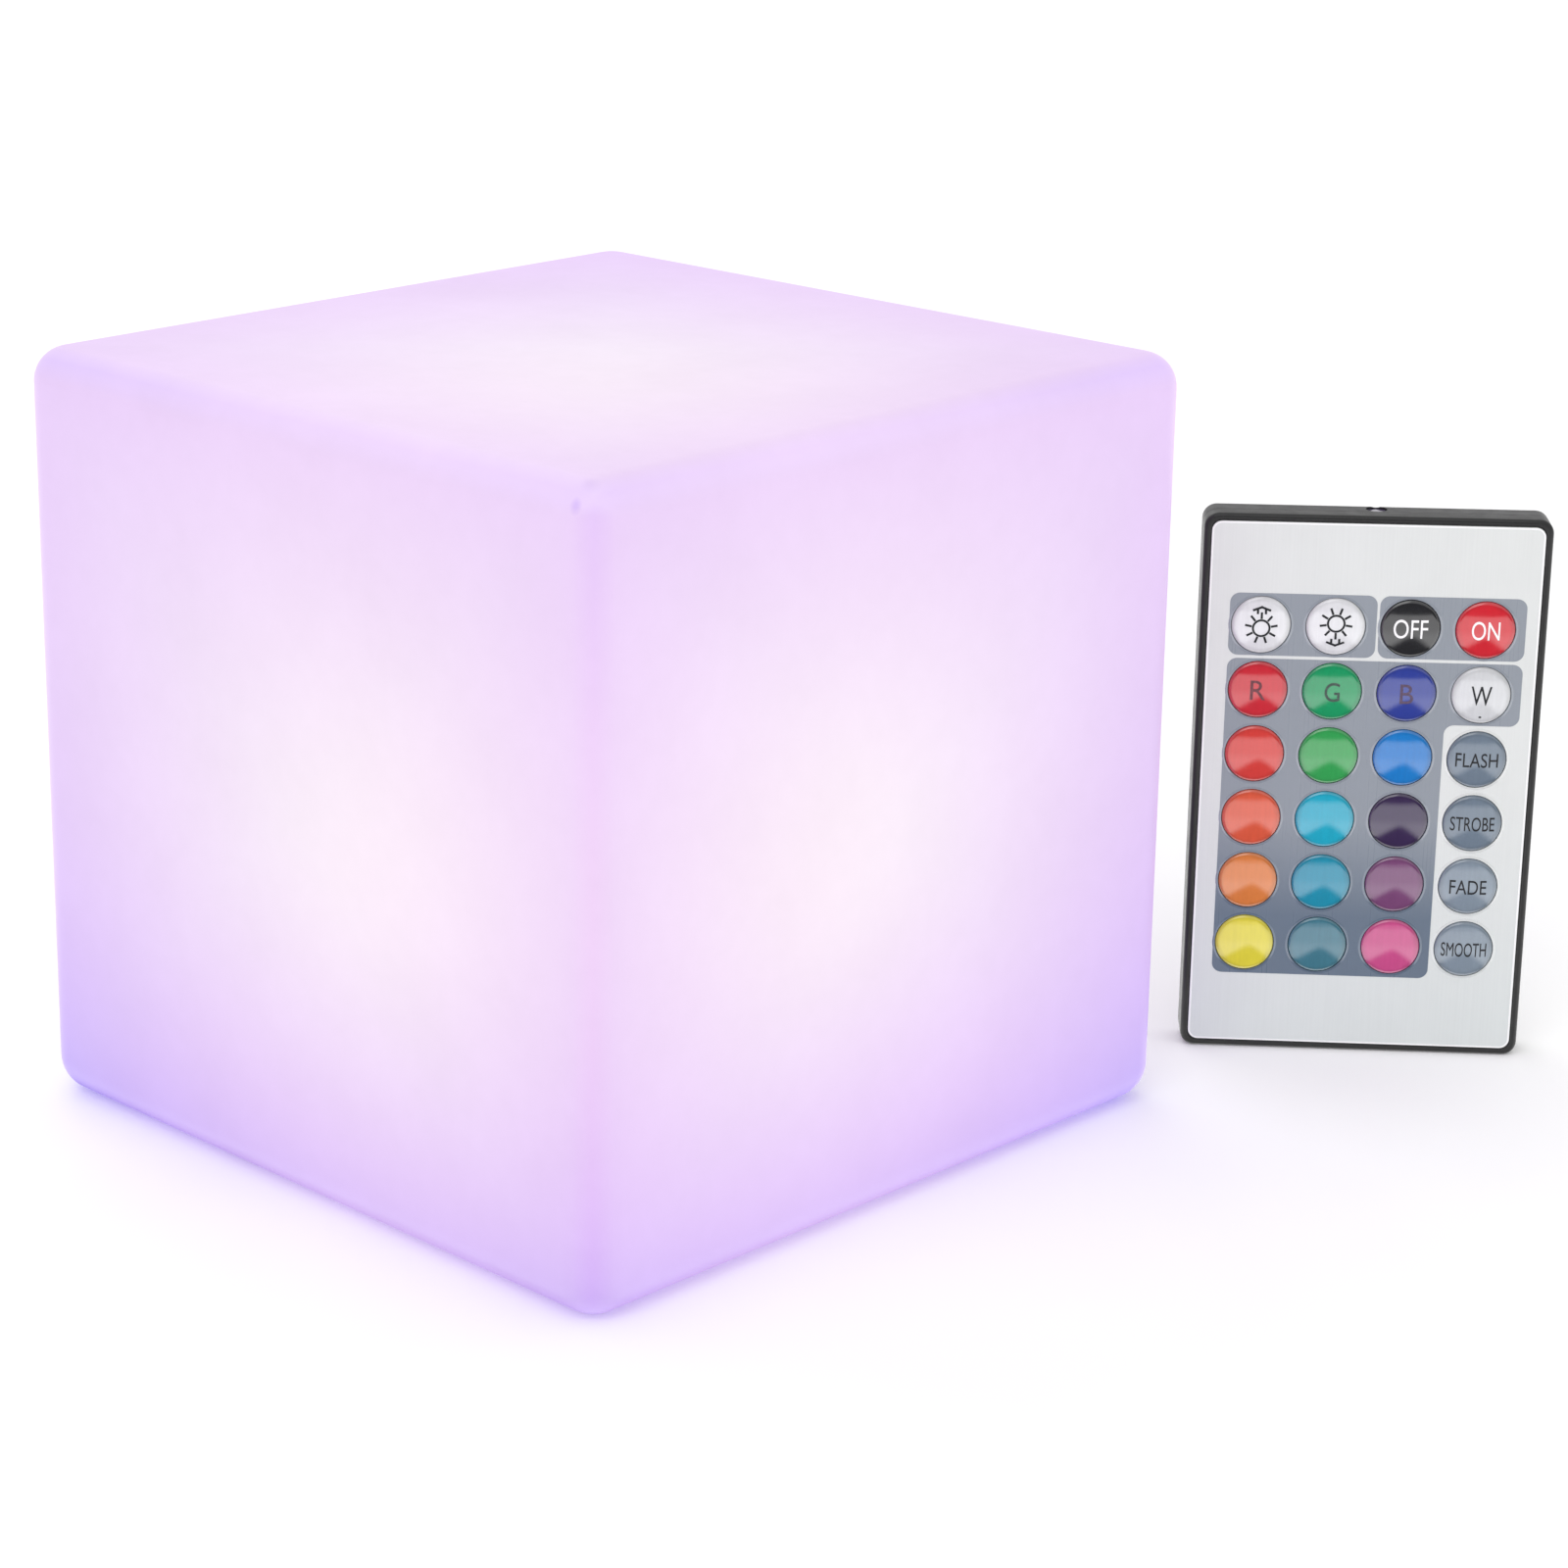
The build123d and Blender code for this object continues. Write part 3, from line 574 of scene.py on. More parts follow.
def fill_between(loops):
    """Triangles over a flat outline with holes. The first loop is the outline."""
    return tessellate_polygon([[Vector((p[0], p[1], 0)) for p in loop] for loop in loops])


def plate_mesh(outline, holes, top, bottom, bevel):
    """A flat plate with round holes and a small bevel round its front edges."""
    side = [outline(0)] + [circle(r, HOLE_STEPS, (x, y)) for x, y, r in holes]
    front = [outline(bevel)] + [circle(r + bevel, HOLE_STEPS, (x, y)) for x, y, r in holes]
    levels = [(front, top), (side, top - bevel), (side, bottom)]
    vertices, faces, starts = [], [], []
    for loops, height in levels:
        row = []
        for loop in loops:
            row.append(len(vertices))
            vertices += [(p[0], p[1], height) for p in loop]
        starts.append(row)
    for upper, lower in ((0, 1), (1, 2)):
        for index, loop in enumerate(side):
            a, b, count = starts[upper][index], starts[lower][index], len(loop)
            for k in range(count):
                n = (k + 1) % count
                faces.append((a + k, a + n, b + n, b + k))
    faces += [tuple(triangle) for triangle in fill_between(front)]
    base = starts[2][0]
    faces += [tuple(base + k for k in reversed(triangle)) for triangle in fill_between(side)]
    return vertices, faces


# ---------------------------------------------------------------- cube
CUBE_CORNER_STEPS = 10
CUBE_SIDE_STEPS = 14
CUBE_EDGE_STEPS = 12
WALL_LEVELS = 10
# The top's rings, as shares of its size. The last one is closed.
TOP_SHARES = (0.8, 0.6, 0.4, 0.2, 0.05)


def square_ring(half, radius, height):
    outline = rounded_rectangle(half, half, radius, CUBE_CORNER_STEPS, CUBE_SIDE_STEPS)
    return [(*p, height) for p in outline]


def cube_outside():
    """Rings from the boss round the mouth, over the dished underside and up to the top's middle."""
    foot = square_ring(CUBE_HALF - BOTTOM_RADIUS, SIDE_RADIUS - BOTTOM_RADIUS, 0)
    turns = [atan2(y, x) for x, y, height in foot]
    mouth = [
        (BOSS_RADIUS, SHELL_WALL),
        (BOSS_RADIUS, LEDGE_TOP),
        (MOUTH_RADIUS, LEDGE_TOP),
        (MOUTH_RADIUS, RECESS_DEPTH),
        (RECESS_RADIUS, RECESS_DEPTH),
        (RECESS_RADIUS, RECESS_EDGE),
        (RECESS_RADIUS + RECESS_ROUND, RECESS_ROUND),
        (RECESS_RADIUS + RECESS_EDGE, 0),
    ]
    rings = [[(radius * cos(a), radius * sin(a), height) for a in turns] for radius, height in mouth]
    rings.append(foot)
    for angle in quarter_turn(CUBE_EDGE_STEPS):
        inset = BOTTOM_RADIUS * (1 - sin(angle))
        height = BOTTOM_RADIUS * (1 - cos(angle))
        rings.append(square_ring(CUBE_HALF - inset, SIDE_RADIUS - inset, height))
    wall_top = CUBE_HEIGHT - TOP_RADIUS
    for step in range(1, WALL_LEVELS + 1):
        height = BOTTOM_RADIUS + (wall_top - BOTTOM_RADIUS) * step / WALL_LEVELS
        rings.append(square_ring(CUBE_HALF, SIDE_RADIUS, height))
    for angle in quarter_turn(CUBE_EDGE_STEPS):
        inset = TOP_RADIUS * (1 - cos(angle))
        height = wall_top + TOP_RADIUS * sin(angle)
        rings.append(square_ring(CUBE_HALF - inset, SIDE_RADIUS - inset, height))
    top_half = CUBE_HALF - TOP_RADIUS
    for share in TOP_SHARES:
        rings.append(square_ring(top_half * share, TOP_CORNER * share, CUBE_HEIGHT))
    return rings


def cube_inside():
    """Rings of the hollow, from the middle of its ceiling down to its floor."""
    half = CUBE_HALF - SHELL_WALL
    ceiling = CUBE_HEIGHT - SHELL_WALL
    share = TOP_SHARES[-1]
    return [
        square_ring(half * share, TOP_CORNER * share, ceiling),
        square_ring(half - SHELL_WALL, SHELL_WALL, ceiling),
        square_ring(half, SHELL_WALL, ceiling - SHELL_WALL),
        square_ring(half, SHELL_WALL, SHELL_WALL * 2),
        square_ring(half - SHELL_WALL, SHELL_WALL, SHELL_WALL),
    ]


def cube_skin(material):
    """The moulded shell: rounded walls, dished underside, and the hollow inside."""
    outside = loft(cube_outside(), start_cap=False)
    inside = loft(cube_inside(), end_cap=False)
    vertices, faces = joined([outside, inside])
    # The hollow's floor runs from its last ring to the boss, which is the first ring of all
    count = 4 * (CUBE_CORNER_STEPS + CUBE_SIDE_STEPS)
    last = len(vertices) - count
    faces += [(last + k, last + (k + 1) % count, (k + 1) % count, k) for k in range(count)]
    shape = vertices, faces
    piece("cube_skin", shape, "cube", material, "glow_shell", replaces=["cube_shell"], sharp=50)


# ---------------------------------------------------------------- remote
def remote_piece(name, shape, material, slot="face_silver", replaces=(), sharp=35):
    """A piece of the remote's own body, given in the remote's own directions."""
    piece(name, shape, "remote", material, slot, remote_matrix, replaces, sharp)


def remote_ring(inset, radius, depth):
    """A ring round the remote, a distance in from its edge and at a depth from its face."""
    middle = REMOTE_HEIGHT / 2
    outline = rounded_rectangle(REMOTE_HALF_WIDTH - inset, middle - inset, radius, 8, 10)
    return [(p.x, p.y + middle, depth) for p in outline]


def remote_rim(material):
    """Black frame with a rounded lip round the face. Each entry is inset, corner radius and depth."""
    profile = [(0, CORNER_RADIUS, SPLIT_DEPTH + 0.08), (0, CORNER_RADIUS, -RIM_LIP)]
    for angle in quarter_turn(5):
        inset = RIM_LIP * (1 - cos(angle))
        profile.append((inset, CORNER_RADIUS - inset, -RIM_LIP + RIM_LIP * sin(angle)))
    profile += [
        (0.86, 1.7, 0),
        (1.02, 1.62, -0.06),
        (RIM_WIDTH, RIM_CORNER, -0.2),
        (RIM_WIDTH, RIM_CORNER, PLATE_BACK),
        (PLATE_LEDGE, LEDGE_CORNER, PLATE_BACK),
        (PLATE_LEDGE, LEDGE_CORNER, SPLIT_DEPTH),
        (0.25, 1.95, SPLIT_DEPTH),
    ]
    shape = loft([remote_ring(*entry) for entry in profile], loop=True)
    remote_piece("remote_rim", shape, material, "remote_black", ["remote_frame"], 40)


def key_places():
    """The middle of each key on the face."""
    places = {}
    for row, names in enumerate(KEY_ROWS):
        for column, name in enumerate(names):
            places[name] = ((column - 1.5) * COLUMN_PITCH, TOP_ROW - row * ROW_PITCH)
    return places


def remote_face(material):
    """Silver face plate with a bevelled hole for every key."""
    middle = REMOTE_HEIGHT / 2

    def outline(inset):
        half_width = REMOTE_HALF_WIDTH - RIM_WIDTH - PLATE_GAP - inset
        half_height = middle - RIM_WIDTH - PLATE_GAP - inset
        points = rounded_rectangle(half_width, half_height, PLATE_CORNER - inset)
        return [Vector((p.x, p.y + middle)) for p in points]

    holes = [(x, y, HOLE_RADIUS) for x, y in key_places().values()]
    shape = plate_mesh(outline, holes, 0, PLATE_BACK, PLATE_BEVEL)
    remote_piece("remote_face", shape, material, replaces=["face_plate"])


def painted_edge_highlight(material):
    """A thin pale line round the printed film, just inside the rim: a painted highlight."""
    start, width, corner = RIM_WIDTH + 0.12, 0.26, 1.45
    root = -0.02
    profile = [
        (start, corner, root),
        (start, corner, FILM_RISE),
        (start + width, corner - width, FILM_RISE),
        (start + width, corner - width, root),
    ]
    remote_piece("painted_edge_highlight", loft([remote_ring(*entry) for entry in profile], loop=True), material)


def back_shape(points):
    """A flat raised shape on the remote's back, from its outline."""
    return loft([[(*p, z) for p in points] for z in (REMOTE_BACK + BACK_ROOT, REMOTE_BACK - BACK_RELIEF)])


def back_relief(material):
    """Raised marks on the remote's back: a frame over the battery drawer, its arrow and a plus sign."""
    half_width, half_height, corner, middle, line = 13.0, 13.5, 2.2, 17.0, 0.45
    rings = []
    for inset, z in ((0, BACK_ROOT), (0, -BACK_RELIEF), (line, -BACK_RELIEF), (line, BACK_ROOT)):
        outline = rounded_rectangle(half_width - inset, half_height - inset, corner - inset)
        rings.append([(p.x, p.y + middle, REMOTE_BACK + z) for p in outline])
    remote_piece("back_frame", loft(rings, loop=True), material, "remote_black")
    arrow = [(-0.9, 22), (-0.9, 12.5), (-3.2, 12.5), (0, 8), (3.2, 12.5), (0.9, 12.5), (0.9, 22)]
    remote_piece("back_arrow", back_shape(arrow), material, "remote_black")
    arm, half, height = 1.7, 0.4, 26.0
    plus = [(half, half), (half, arm), (-half, arm), (-half, half), (-arm, half), (-arm, -half)]
    plus += [(-half, -half), (-half, -arm), (half, -arm), (half, -half), (arm, -half), (arm, half)]
    plus = [(x, y + height) for x, y in plus]
    remote_piece("back_plus", back_shape(plus), material, "remote_black")


def corner_arc(centre, radius, start, end, steps=8):
    turns = [radians(start + (end - start) * step / steps) for step in range(steps + 1)]
    return [Vector((centre[0] + radius * cos(a), centre[1] + radius * sin(a))) for a in turns]


def panel_outline(corners, radius):
    """Outline of a printed panel from its corners, anticlockwise, each one rounded."""
    points = []
    count = len(corners)
    for index in range(count):
        here = Vector(corners[index])
        before = (Vector(corners[index - 1]) - here).normalized()
        after = (Vector(corners[(index + 1) % count]) - here).normalized()
        centre = here + (before + after) * radius
        start = degrees(atan2(-after.y, -after.x))
        end = degrees(atan2(-before.y, -before.x))
        turn = (end - start + 180) % 360 - 180
        points += corner_arc(centre, radius, start, start + turn)
    return points


def printed_panels(material):
    """Three grey panels printed on the face, as a film that is hardly raised."""
    left, right, notch_side = -21.6, 22.8, 11.6
    top, row_edge, main_top, notch_top, bottom = 73.7, 63.9, 63.4, 53.6, 12.4
    split_left, split_right = 0.5, 0.9
    corner, gap = 1.5, 0.12
    panels = {
        "panel_brightness": [(left, row_edge), (split_left, row_edge), (split_left, top), (left, top)],
        "panel_switch": [(split_right, row_edge), (right, row_edge), (right, top), (split_right, top)],
        "panel_colours": [
            (left, bottom), (notch_side, bottom), (notch_side, notch_top), (right, notch_top),
            (right, main_top), (left, main_top),
        ],
    }
    for name, corners in panels.items():
        outline = panel_outline(corners, corner)
        xs, ys = zip(*corners)
        holes = []
        for x, y in key_places().values():
            in_notch = x > notch_side and y < notch_top
            if min(xs) < x < max(xs) and min(ys) < y < max(ys) and not in_notch:
                holes.append((x, y, HOLE_RADIUS + gap))
        remote_piece(name, plate_mesh(lambda inset: outline, holes, FILM_RISE, 0.0, 0.0), material)


def key_lips(name, keys, material):
    """A low lip round each key, where the film is pressed up."""
    inner, outer, root = KEY_RADIUS + 0.07, HOLE_RADIUS + 0.26, -0.2
    profile = [
        (inner, root),
        (inner, 0.05),
        (inner + 0.06, 0.11),
        (inner + 0.16, 0.1),
        (outer, 0.02),
        (outer, root),
    ]
    lips = []
    for key in keys:
        middle = key_places()[key]
        rings = [[(*p, z) for p in circle(radius, HOLE_STEPS, middle)] for radius, z in profile]
        lips.append(loft(rings, loop=True))
    remote_piece(name, joined(lips), material)


# ---------------------------------------------------------------- keys and their prints
CAP_STEPS = 56
DOME_STEPS = 12
# A print is cut into facets of this size, by this many lines to either side of its middle
FACET = 0.4
FACET_LINES = 10
# The brightness symbols: width of the lines, radii of the ring, and ends of the nine rays
SUN_LINE = 0.33
SUN_RING = (1.09, 1.4)
SUN_RAY = (1.62, 2.32)
SUN_RAYS = 9


def at_key(name):
    """From a key's own directions to the frame's."""
    x, y = key_places()[name]
    return remote_matrix @ Matrix.Translation((x * MM, y * MM, 0))


def dome_height(distance):
    """Height of a key's crown above the face, a distance from the key's middle."""
    return KEY_CROWN - (KEY_CROWN - KEY_EDGE) * (distance / KEY_RADIUS) ** 2


def key_cap(name, material):
    """A domed round key."""
    brink = KEY_RADIUS - 0.2
    profile = [
        (KEY_TIP, KEY_BACK),
        (KEY_RADIUS - 0.1, KEY_BACK),
        (KEY_RADIUS, KEY_BACK + 0.1),
        (KEY_RADIUS, 0.02),
        (KEY_RADIUS - 0.05, 0.1),
        (brink, dome_height(brink)),
    ]
    for step in range(1, DOME_STEPS):
        distance = brink * (1 - step / DOME_STEPS)
        profile.append((distance, dome_height(distance)))
    profile.append((KEY_TIP, KEY_CROWN))
    node = "key_" + name
    shape = lathe(profile, CAP_STEPS)
    piece("cap_" + name, shape, node, material, frame_slots[node], at_key(name), [node], 40)


def drape_on_dome(mesh):
    """Cut a flat mesh into small facets and lay it on a key's dome.

    The cuts lie half a facet off the middle, so that none runs along a side of a symbol.
    """
    work = bmesh.new()
    work.from_mesh(mesh)
    for normal in (Vector((1, 0, 0)), Vector((0, 1, 0))):
        for step in range(-FACET_LINES, FACET_LINES):
            cut = normal * ((step + 0.5) * FACET * MM)
            geometry = work.verts[:] + work.edges[:] + work.faces[:]
            bmesh.ops.bisect_plane(work, geom=geometry, plane_co=cut, plane_no=normal)
    for vertex in work.verts:
        distance = hypot(vertex.co.x, vertex.co.y) / MM
        vertex.co.z += (dome_height(distance) + KEY_PRINT_RISE) * MM
    work.to_mesh(mesh)
    work.free()


def word_mesh(text, height, width):
    """Flat, slightly thick letters of a given height and width, centred."""
    curve = bpy.data.curves.new("word", "FONT")
    curve.body = text
    curve.extrude = PRINT_DEPTH / 2
    curve.resolution_u = 6
    holder = bpy.data.objects.new("word", curve)
    bpy.context.scene.collection.objects.link(holder)
    graph = bpy.context.evaluated_depsgraph_get()
    mesh = bpy.data.meshes.new_from_object(holder.evaluated_get(graph))
    bpy.data.objects.remove(holder)
    xs = [v.co.x for v in mesh.vertices]
    ys = [v.co.y for v in mesh.vertices]
    centre = Vector(((min(xs) + max(xs)) / 2, (min(ys) + max(ys)) / 2, 0))
    scale = Vector((width / (max(xs) - min(xs)), height / (max(ys) - min(ys)), 1)) * MM
    for vertex in mesh.vertices:
        vertex.co = (vertex.co - centre) * scale
    return mesh


def stroke(start, end, width):
    """A straight printed line as a thin box, half its width longer at both ends."""
    start, end = Vector(start), Vector(end)
    along = (end - start).normalized() * 0.5 * width
    across = Vector((-along.y, along.x))
    ring = [start - along - across, end + along - across, end + along + across, start - along + across]
    return loft([[(*p, z) for p in ring] for z in (-PRINT_DEPTH / 2, PRINT_DEPTH / 2)])


def sun_mesh(direction, drop):
    """A brightness symbol: a ring, nine rays and an arrow that points up or down."""
    centre = Vector((0, -drop * direction))
    inner, outer = SUN_RING
    low, high = -PRINT_DEPTH / 2, PRINT_DEPTH / 2
    band = [(inner, low), (outer, low), (outer, high), (inner, high)]
    parts = [loft([[(*p, z) for p in circle(radius, 40, centre)] for radius, z in band], loop=True)]
    for ray in range(SUN_RAYS):
        angle = radians(90 * direction + 360 / SUN_RAYS * ray)
        out = Vector((cos(angle), sin(angle)))
        start, end = (centre + out * reach for reach in SUN_RAY)
        parts.append(stroke(start, end, SUN_LINE))
    tip = 2.86 * direction
    for side in (-1, 1):
        shaft = side * 0.6
        parts.append(stroke((0, tip), (side * 1.2, tip - 0.46 * direction), SUN_LINE))
        parts.append(stroke((shaft, tip - 0.38 * direction), (shaft, tip - 0.9 * direction), SUN_LINE))
    return loose_mesh("sun", *joined(parts))


def key_print(key, mesh, material, name=None):
    """Lay printed letters or a symbol on a key."""
    drape_on_dome(mesh)
    place_mesh(name or "print_" + key, mesh, "key_" + key, material, None, at_key(key))


def remote_keys():
    """All the keys with their prints. Keys of one colour share a material, and so do prints."""
    materials = {}
    for name in key_places():
        colour = KEY_COLOURS[name]
        if colour not in materials:
            materials[colour] = key_material("key_" + name, colour)
        key_cap(name, materials[colour])
        if name in LABELS:
            text, height, width, ink = LABELS[name]
            if ink not in materials:
                materials[ink] = ink_material("ink_" + name, ink)
            key_print(name, word_mesh(text, height, width), materials[ink])
    dark = materials[DARK_INK]
    for name, direction, drop in (("brightness_up", 1, 0.4), ("brightness_down", -1, 0.6)):
        key_print(name, sun_mesh(direction, drop), dark)
    dot = stroke((-0.06, -3.4), (0.06, -3.4), 0.24)
    key_print("white", loose_mesh("dot", *dot), dark, "print_dot")


def dress_remote():
    """The remote's rim, face, back, printed panels, lips and keys."""
    silver = printed_film("face_silver", SILVER_FILM, 0.34)
    grey = printed_film("panel_grey", PANEL_FILM, 0.3)
    remote_rim(moulded("rim_black", (17, 17, 18), roughness=0.4, grain=0.25, depth=0.015, spread=0.15))
    remote_face(silver)
    # The pale line round the film is a painted highlight of the plate's edge
    pale_line = moulded(
        "painted_edge_highlight", (244, 245, 244), roughness=0.3, grain=0.4, depth=0.005, spread=0.02, coat=0.3)
    painted_edge_highlight(pale_line)
    # The marks are lighter than the black back: a painted highlight that lets them show
    back_relief(moulded("back_relief", (52, 52, 55), roughness=0.5, grain=0.25, depth=0.01, spread=0.1))
    printed_panels(grey)
    grey_lip = printed_film("lip_grey", PANEL_LIP_FILM, 0.12, coat=1.0)
    silver_lip = printed_film("lip_silver", SILVER_FILM, 0.12, coat=1.0)
    key_lips("lips_on_panels", [key for key in key_places() if key not in BARE_KEYS], grey_lip)
    key_lips("lips_on_plate", BARE_KEYS, silver_lip)
    remote_keys()


# ---------------------------------------------------------------- underside, in millimetres
BUTTON_PLACE = (0.0, -9.5)
BUTTON_FACE = 0.5
PORT_PLACE = (0.0, 9.5)
PIN_BOTTOM = 3.1
PIN_TOP = 8.4
PIN_RADIUS = 0.65
GRIP_RADIUS = 21.0
GRIP_FLOOR = 1.8


def arc_band(radius, width, start, end, top, steps=24):
    """A thin curved line, between two angles in degrees, whose upper side lies at a height."""
    rings = []
    for step in range(steps + 1):
        angle = radians(start + (end - start) * step / steps)
        ring = []
        for r, z in ((-0.5, 0), (0.5, 0), (0.5, -1), (-0.5, -1)):
            reach = radius + r * width
            ring.append((reach * cos(angle), reach * sin(angle), top + z * PRINT_DEPTH))
        rings.append(ring)
    return loft(rings)


def flat_shape(points, top):
    """A thin flat shape from its outline, whose upper side lies at a height."""
    return loft([[(*p, top - PRINT_DEPTH) for p in points], [(*p, top) for p in points]])


def power_symbol(ink):
    """The usual broken ring and bar on the button."""
    x, y = BUTTON_PLACE
    at = Matrix.Translation((x * MM, y * MM, 0))
    top = BUTTON_FACE + FLAT_PRINT_RISE
    piece("button_ring", arc_band(1.7, 0.4, 125, 415, top, 36), "power_button", ink, matrix=at)
    bar = [(-0.2, 0.5), (0.2, 0.5), (0.2, 2.3), (-0.2, 2.3)]
    piece("button_bar", flat_shape(bar, top), "power_button", ink, matrix=at)


def socket_pin(metal):
    """Centre pin of the charging socket."""
    x, y = PORT_PLACE
    profile = [(PIN_RADIUS * 0.5, PIN_BOTTOM), (PIN_RADIUS, PIN_BOTTOM + 0.35), (PIN_RADIUS, PIN_TOP)]
    at = Matrix.Translation((x * MM, y * MM, 0))
    piece("socket_pin", lathe(profile, 24), "light_module", metal, matrix=at)


def twist_arrows(ink):
    """A curved arrow on the floor of each finger grip, in the direction that opens the lock."""
    top = GRIP_FLOOR + FLAT_PRINT_RISE
    width, half_head = 0.9, 1.5
    tip, neck, head_back, tail = -20, -12, -11.5, 18
    corners = [
        (GRIP_RADIUS - half_head, head_back),
        (GRIP_RADIUS, tip),
        (GRIP_RADIUS + half_head, head_back),
    ]
    head = [(radius * cos(radians(angle)), radius * sin(radians(angle))) for radius, angle in corners]
    for name, start in (("arrow_right", 0), ("arrow_left", 180)):
        turn = Matrix.Rotation(radians(start), 4, "Z")
        band = arc_band(GRIP_RADIUS, width, neck, tail, top)
        piece(name, band, "light_module", ink, matrix=turn)
        piece(name + "_head", flat_shape(head, top), "light_module", ink, matrix=turn)


# ---------------------------------------------------------------- CAD nodes that stay
NODE_BEVEL = 0.12
NODE_BEVEL_ANGLE = 40


def dress_nodes():
    """Give every CAD node that still shows a material of its own kind and soft edges."""
    finishes = {slot: moulded(slot, **look) for slot, look in FINISHES.items()}
    for node, made in frame["nodes"].items():
        material = finishes.get(frame_slots[node])
        if material is None or made.hide_render:
            continue
        for entry in made.material_slots:
            entry.material = material
        edge = made.modifiers.new("soft_edges", "BEVEL")
        edge.width = NODE_BEVEL * MM
        edge.segments = 2
        edge.limit_method = "ANGLE"
        edge.angle_limit = radians(NODE_BEVEL_ANGLE)
    return finishes


# ---------------------------------------------------------------- camera
# Place in millimetres, angles in degrees, lens and sensor in millimetres
CAMERA_PLACE = (401.863, -389.705, 231.023)
CAMERA_AZIMUTH = 45.833
CAMERA_PITCH = 17.113
CAMERA_ROLL = 0.154
CAMERA_LENS = 90.86
CAMERA_SENSOR = 36
CAMERA_SHIFT = (0.1132, -0.0391)


def add_camera():
    """The photograph's viewpoint."""
    data = bpy.data.cameras.new("camera")
    data.lens = CAMERA_LENS
    data.sensor_width = CAMERA_SENSOR
    data.shift_x, data.shift_y = CAMERA_SHIFT
    data.clip_start = 0.01
    turn, pitch, roll = radians(CAMERA_AZIMUTH), radians(CAMERA_PITCH), radians(CAMERA_ROLL)
    forward = Vector((-sin(turn) * cos(pitch), cos(turn) * cos(pitch), -sin(pitch)))
    right = forward.cross(Vector((0, 0, 1))).normalized()
    up = right.cross(forward)
    across = right * cos(roll) + up * sin(roll)
    above = up * cos(roll) - right * sin(roll)
    camera = bpy.data.objects.new("camera", data)
    bpy.context.scene.collection.objects.link(camera)
    turned = Matrix((across, above, -forward)).transposed().to_4x4()
    camera.matrix_world = Matrix.Translation(Vector(CAMERA_PLACE) * MM) @ turned
    bpy.context.scene.camera = camera


# ---------------------------------------------------------------- stage and light, in metres
FLOOR_HALF = 20.0
# A soft box below the horizon, which the floor hides from all but glossy reflections. Its
# foot, as a sine of elevation, is highest straight ahead and drops to both sides. Its light
# changes between two heights. A second light straight below brightens the lower edges of the
# keys, and above the horizon the sky is even. Heights are sines of elevation too.
BOX_FOOT = -0.375
BOX_DROP = 0.75
BOX_ROUND = 0.07
BOX_EDGE = 0.045
BOX_LIGHT = 2.1
BOX_LIGHT_ABOVE = 1.6
BOX_CHANGE = (-0.38, -0.27)
BOX_DARK = 0.16
BOX_AHEAD = -40.0
LOW_LIGHT_EDGE = (-0.92, -0.8)
HORIZON = (-0.06, -0.04)
SKY_LIGHT = 0.95
# A dark card in front of the remote: how far away, how far to each side, and its height
CARD_AWAY = 1.0
CARD_REACH = 0.9
CARD_LOW = 0.03
CARD_HIGH = 0.40


def stage_plane(name, corners, material, hidden_from):
    """A flat four-cornered thing of the stage, hidden from some kinds of ray."""
    mesh = bpy.data.meshes.new(name)
    mesh.from_pydata(corners, [], [(0, 1, 2, 3)])
    mesh.materials.append(material)
    plane = bpy.data.objects.new(name, mesh)
    bpy.context.scene.collection.objects.link(plane)
    for kind in hidden_from:
        setattr(plane, "visible_" + kind, False)


def add_floor():
    """A wide pale floor."""
    t = Tree("floor")
    tone = t.ramp(t.noise(60, 2), *NOISE_SPAN)
    material = t.finish(
        Base_Color=t.mix(tone, (0.90, 0.90, 0.905), (0.93, 0.93, 0.932)), Roughness=0.7,
        Normal=t.bump(t.noise(1.5, 2), 0.02, 0.2), Specular_IOR_Level=0.15,
        Emission_Color=(1, 1, 1), Emission_Strength=0.07,
    )
    corners = [(x * FLOOR_HALF, y * FLOOR_HALF, 0) for x, y in ((-1, -1), (1, -1), (1, 1), (-1, 1))]
    stage_plane("floor", corners, material, ["glossy"])


def add_card():
    """A dark card in front of the remote, seen only in gloss, which shades the tops of the keys."""
    ahead = radians(BOX_AHEAD)
    out = Vector((cos(ahead), sin(ahead), 0))
    across = Vector((-sin(ahead), cos(ahead), 0))
    centre = Vector((REMOTE_X, REMOTE_Y, 0)) * MM + out * CARD_AWAY
    edges = [
        (-CARD_REACH, CARD_LOW), (CARD_REACH, CARD_LOW), (CARD_REACH, CARD_HIGH), (-CARD_REACH, CARD_HIGH),
    ]
    corners = [centre + across * side + Vector((0, 0, z)) for side, z in edges]
    t = Tree("card")
    material = t.finish(
        Base_Color=(0, 0, 0), Specular_IOR_Level=0.0, Emission_Color=(1, 1, 1),
        Emission_Strength=t.ramp(t.noise(90), *NOISE_SPAN, BOX_DARK * 0.9, BOX_DARK * 1.1),
    )
    stage_plane("card", corners, material, ["camera", "diffuse", "shadow", "transmission"])


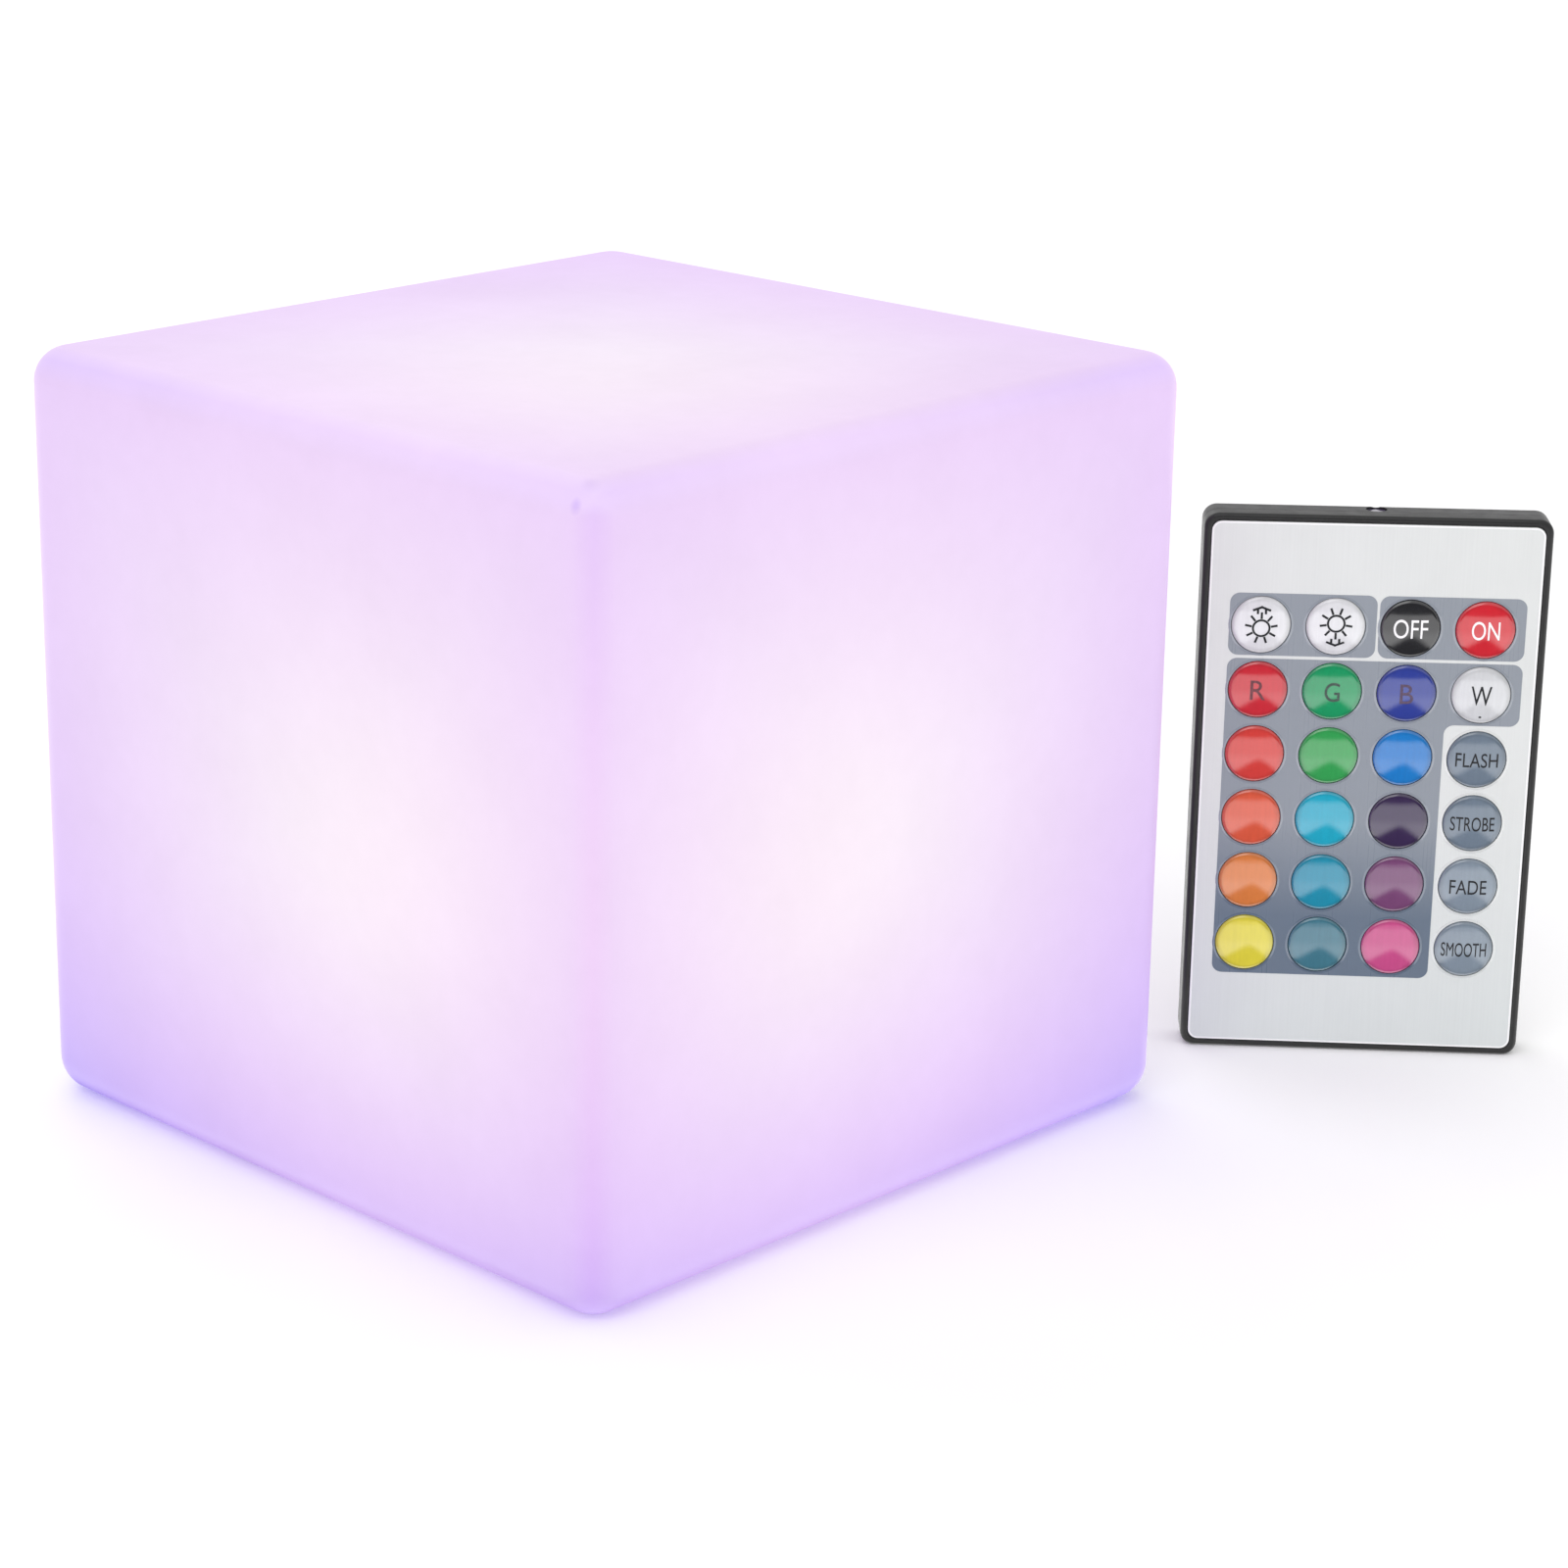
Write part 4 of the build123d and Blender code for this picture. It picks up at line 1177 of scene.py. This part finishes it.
def add_area(name, place, aim, size, power):
    """A square soft box that shines from a place towards another one."""
    data = bpy.data.lights.new(name, "AREA")
    data.shape = "RECTANGLE"
    data.size = size
    data.size_y = size
    data.energy = power
    light = bpy.data.objects.new(name, data)
    bpy.context.scene.collection.objects.link(light)
    light.location = place
    light.rotation_euler = (Vector(aim) - Vector(place)).to_track_quat("-Z", "Y").to_euler()
    light.visible_camera = False


def studio_world():
    """An even white sky, and below the horizon the soft box that shows in the remote's gloss."""
    world = bpy.data.worlds.new("world")
    world.use_nodes = True
    t = Tree(world=world)
    ray = t.node("ShaderNodeTexCoord").outputs["Generated"]
    height = t.node("ShaderNodeSeparateXYZ", Vector=ray).outputs[2]
    turn = radians(BOX_AHEAD + 90)
    aside = t.vector("DOT_PRODUCT", ray, (cos(turn), sin(turn), 0))
    rounded = t.math("SQRT", t.math("ADD", t.math("MULTIPLY", aside, aside), BOX_ROUND ** 2))
    foot = t.math("SUBTRACT", BOX_FOOT + BOX_DROP * BOX_ROUND, t.math("MULTIPLY", rounded, BOX_DROP))
    bright = t.ramp(height, *BOX_CHANGE, BOX_LIGHT, BOX_LIGHT_ABOVE)
    below = t.ramp(t.math("SUBTRACT", height, foot), -BOX_EDGE, BOX_EDGE, BOX_DARK, bright)
    below = t.math("ADD", below, t.ramp(height, *LOW_LIGHT_EDGE, BOX_LIGHT, 0.0))
    light = t.ramp(t.ramp(height, *HORIZON), 0.0, 1.0, below, SKY_LIGHT)
    back = t.nodes["Background"]
    back.inputs["Color"].default_value = (1, 1, 1, 1)
    t.links.new(light, back.inputs["Strength"])
    return world


def add_light():
    """Soft white studio light from all round, with two large soft boxes."""
    bpy.context.scene.world = studio_world()
    add_card()
    add_area("key_box", place=(0.6, -1.2, 1.3), aim=(0.05, 0.05, 0.05), size=1.2, power=7)
    add_area("fill_box", place=(-1.2, 0.4, 1.2), aim=(0, 0, 0.05), size=1.2, power=4)


# ---------------------------------------------------------------- the whole scene
add_camera()
add_floor()
add_light()
bpy.context.scene.view_settings.view_transform = "Standard"

cube_skin(glow_shell_material())
dress_remote()
finishes = dress_nodes()
mark_ink = ink_material("ink_marks", MARK_INK)
power_symbol(mark_ink)
twist_arrows(mark_ink)
socket_pin(finishes["nickel"])
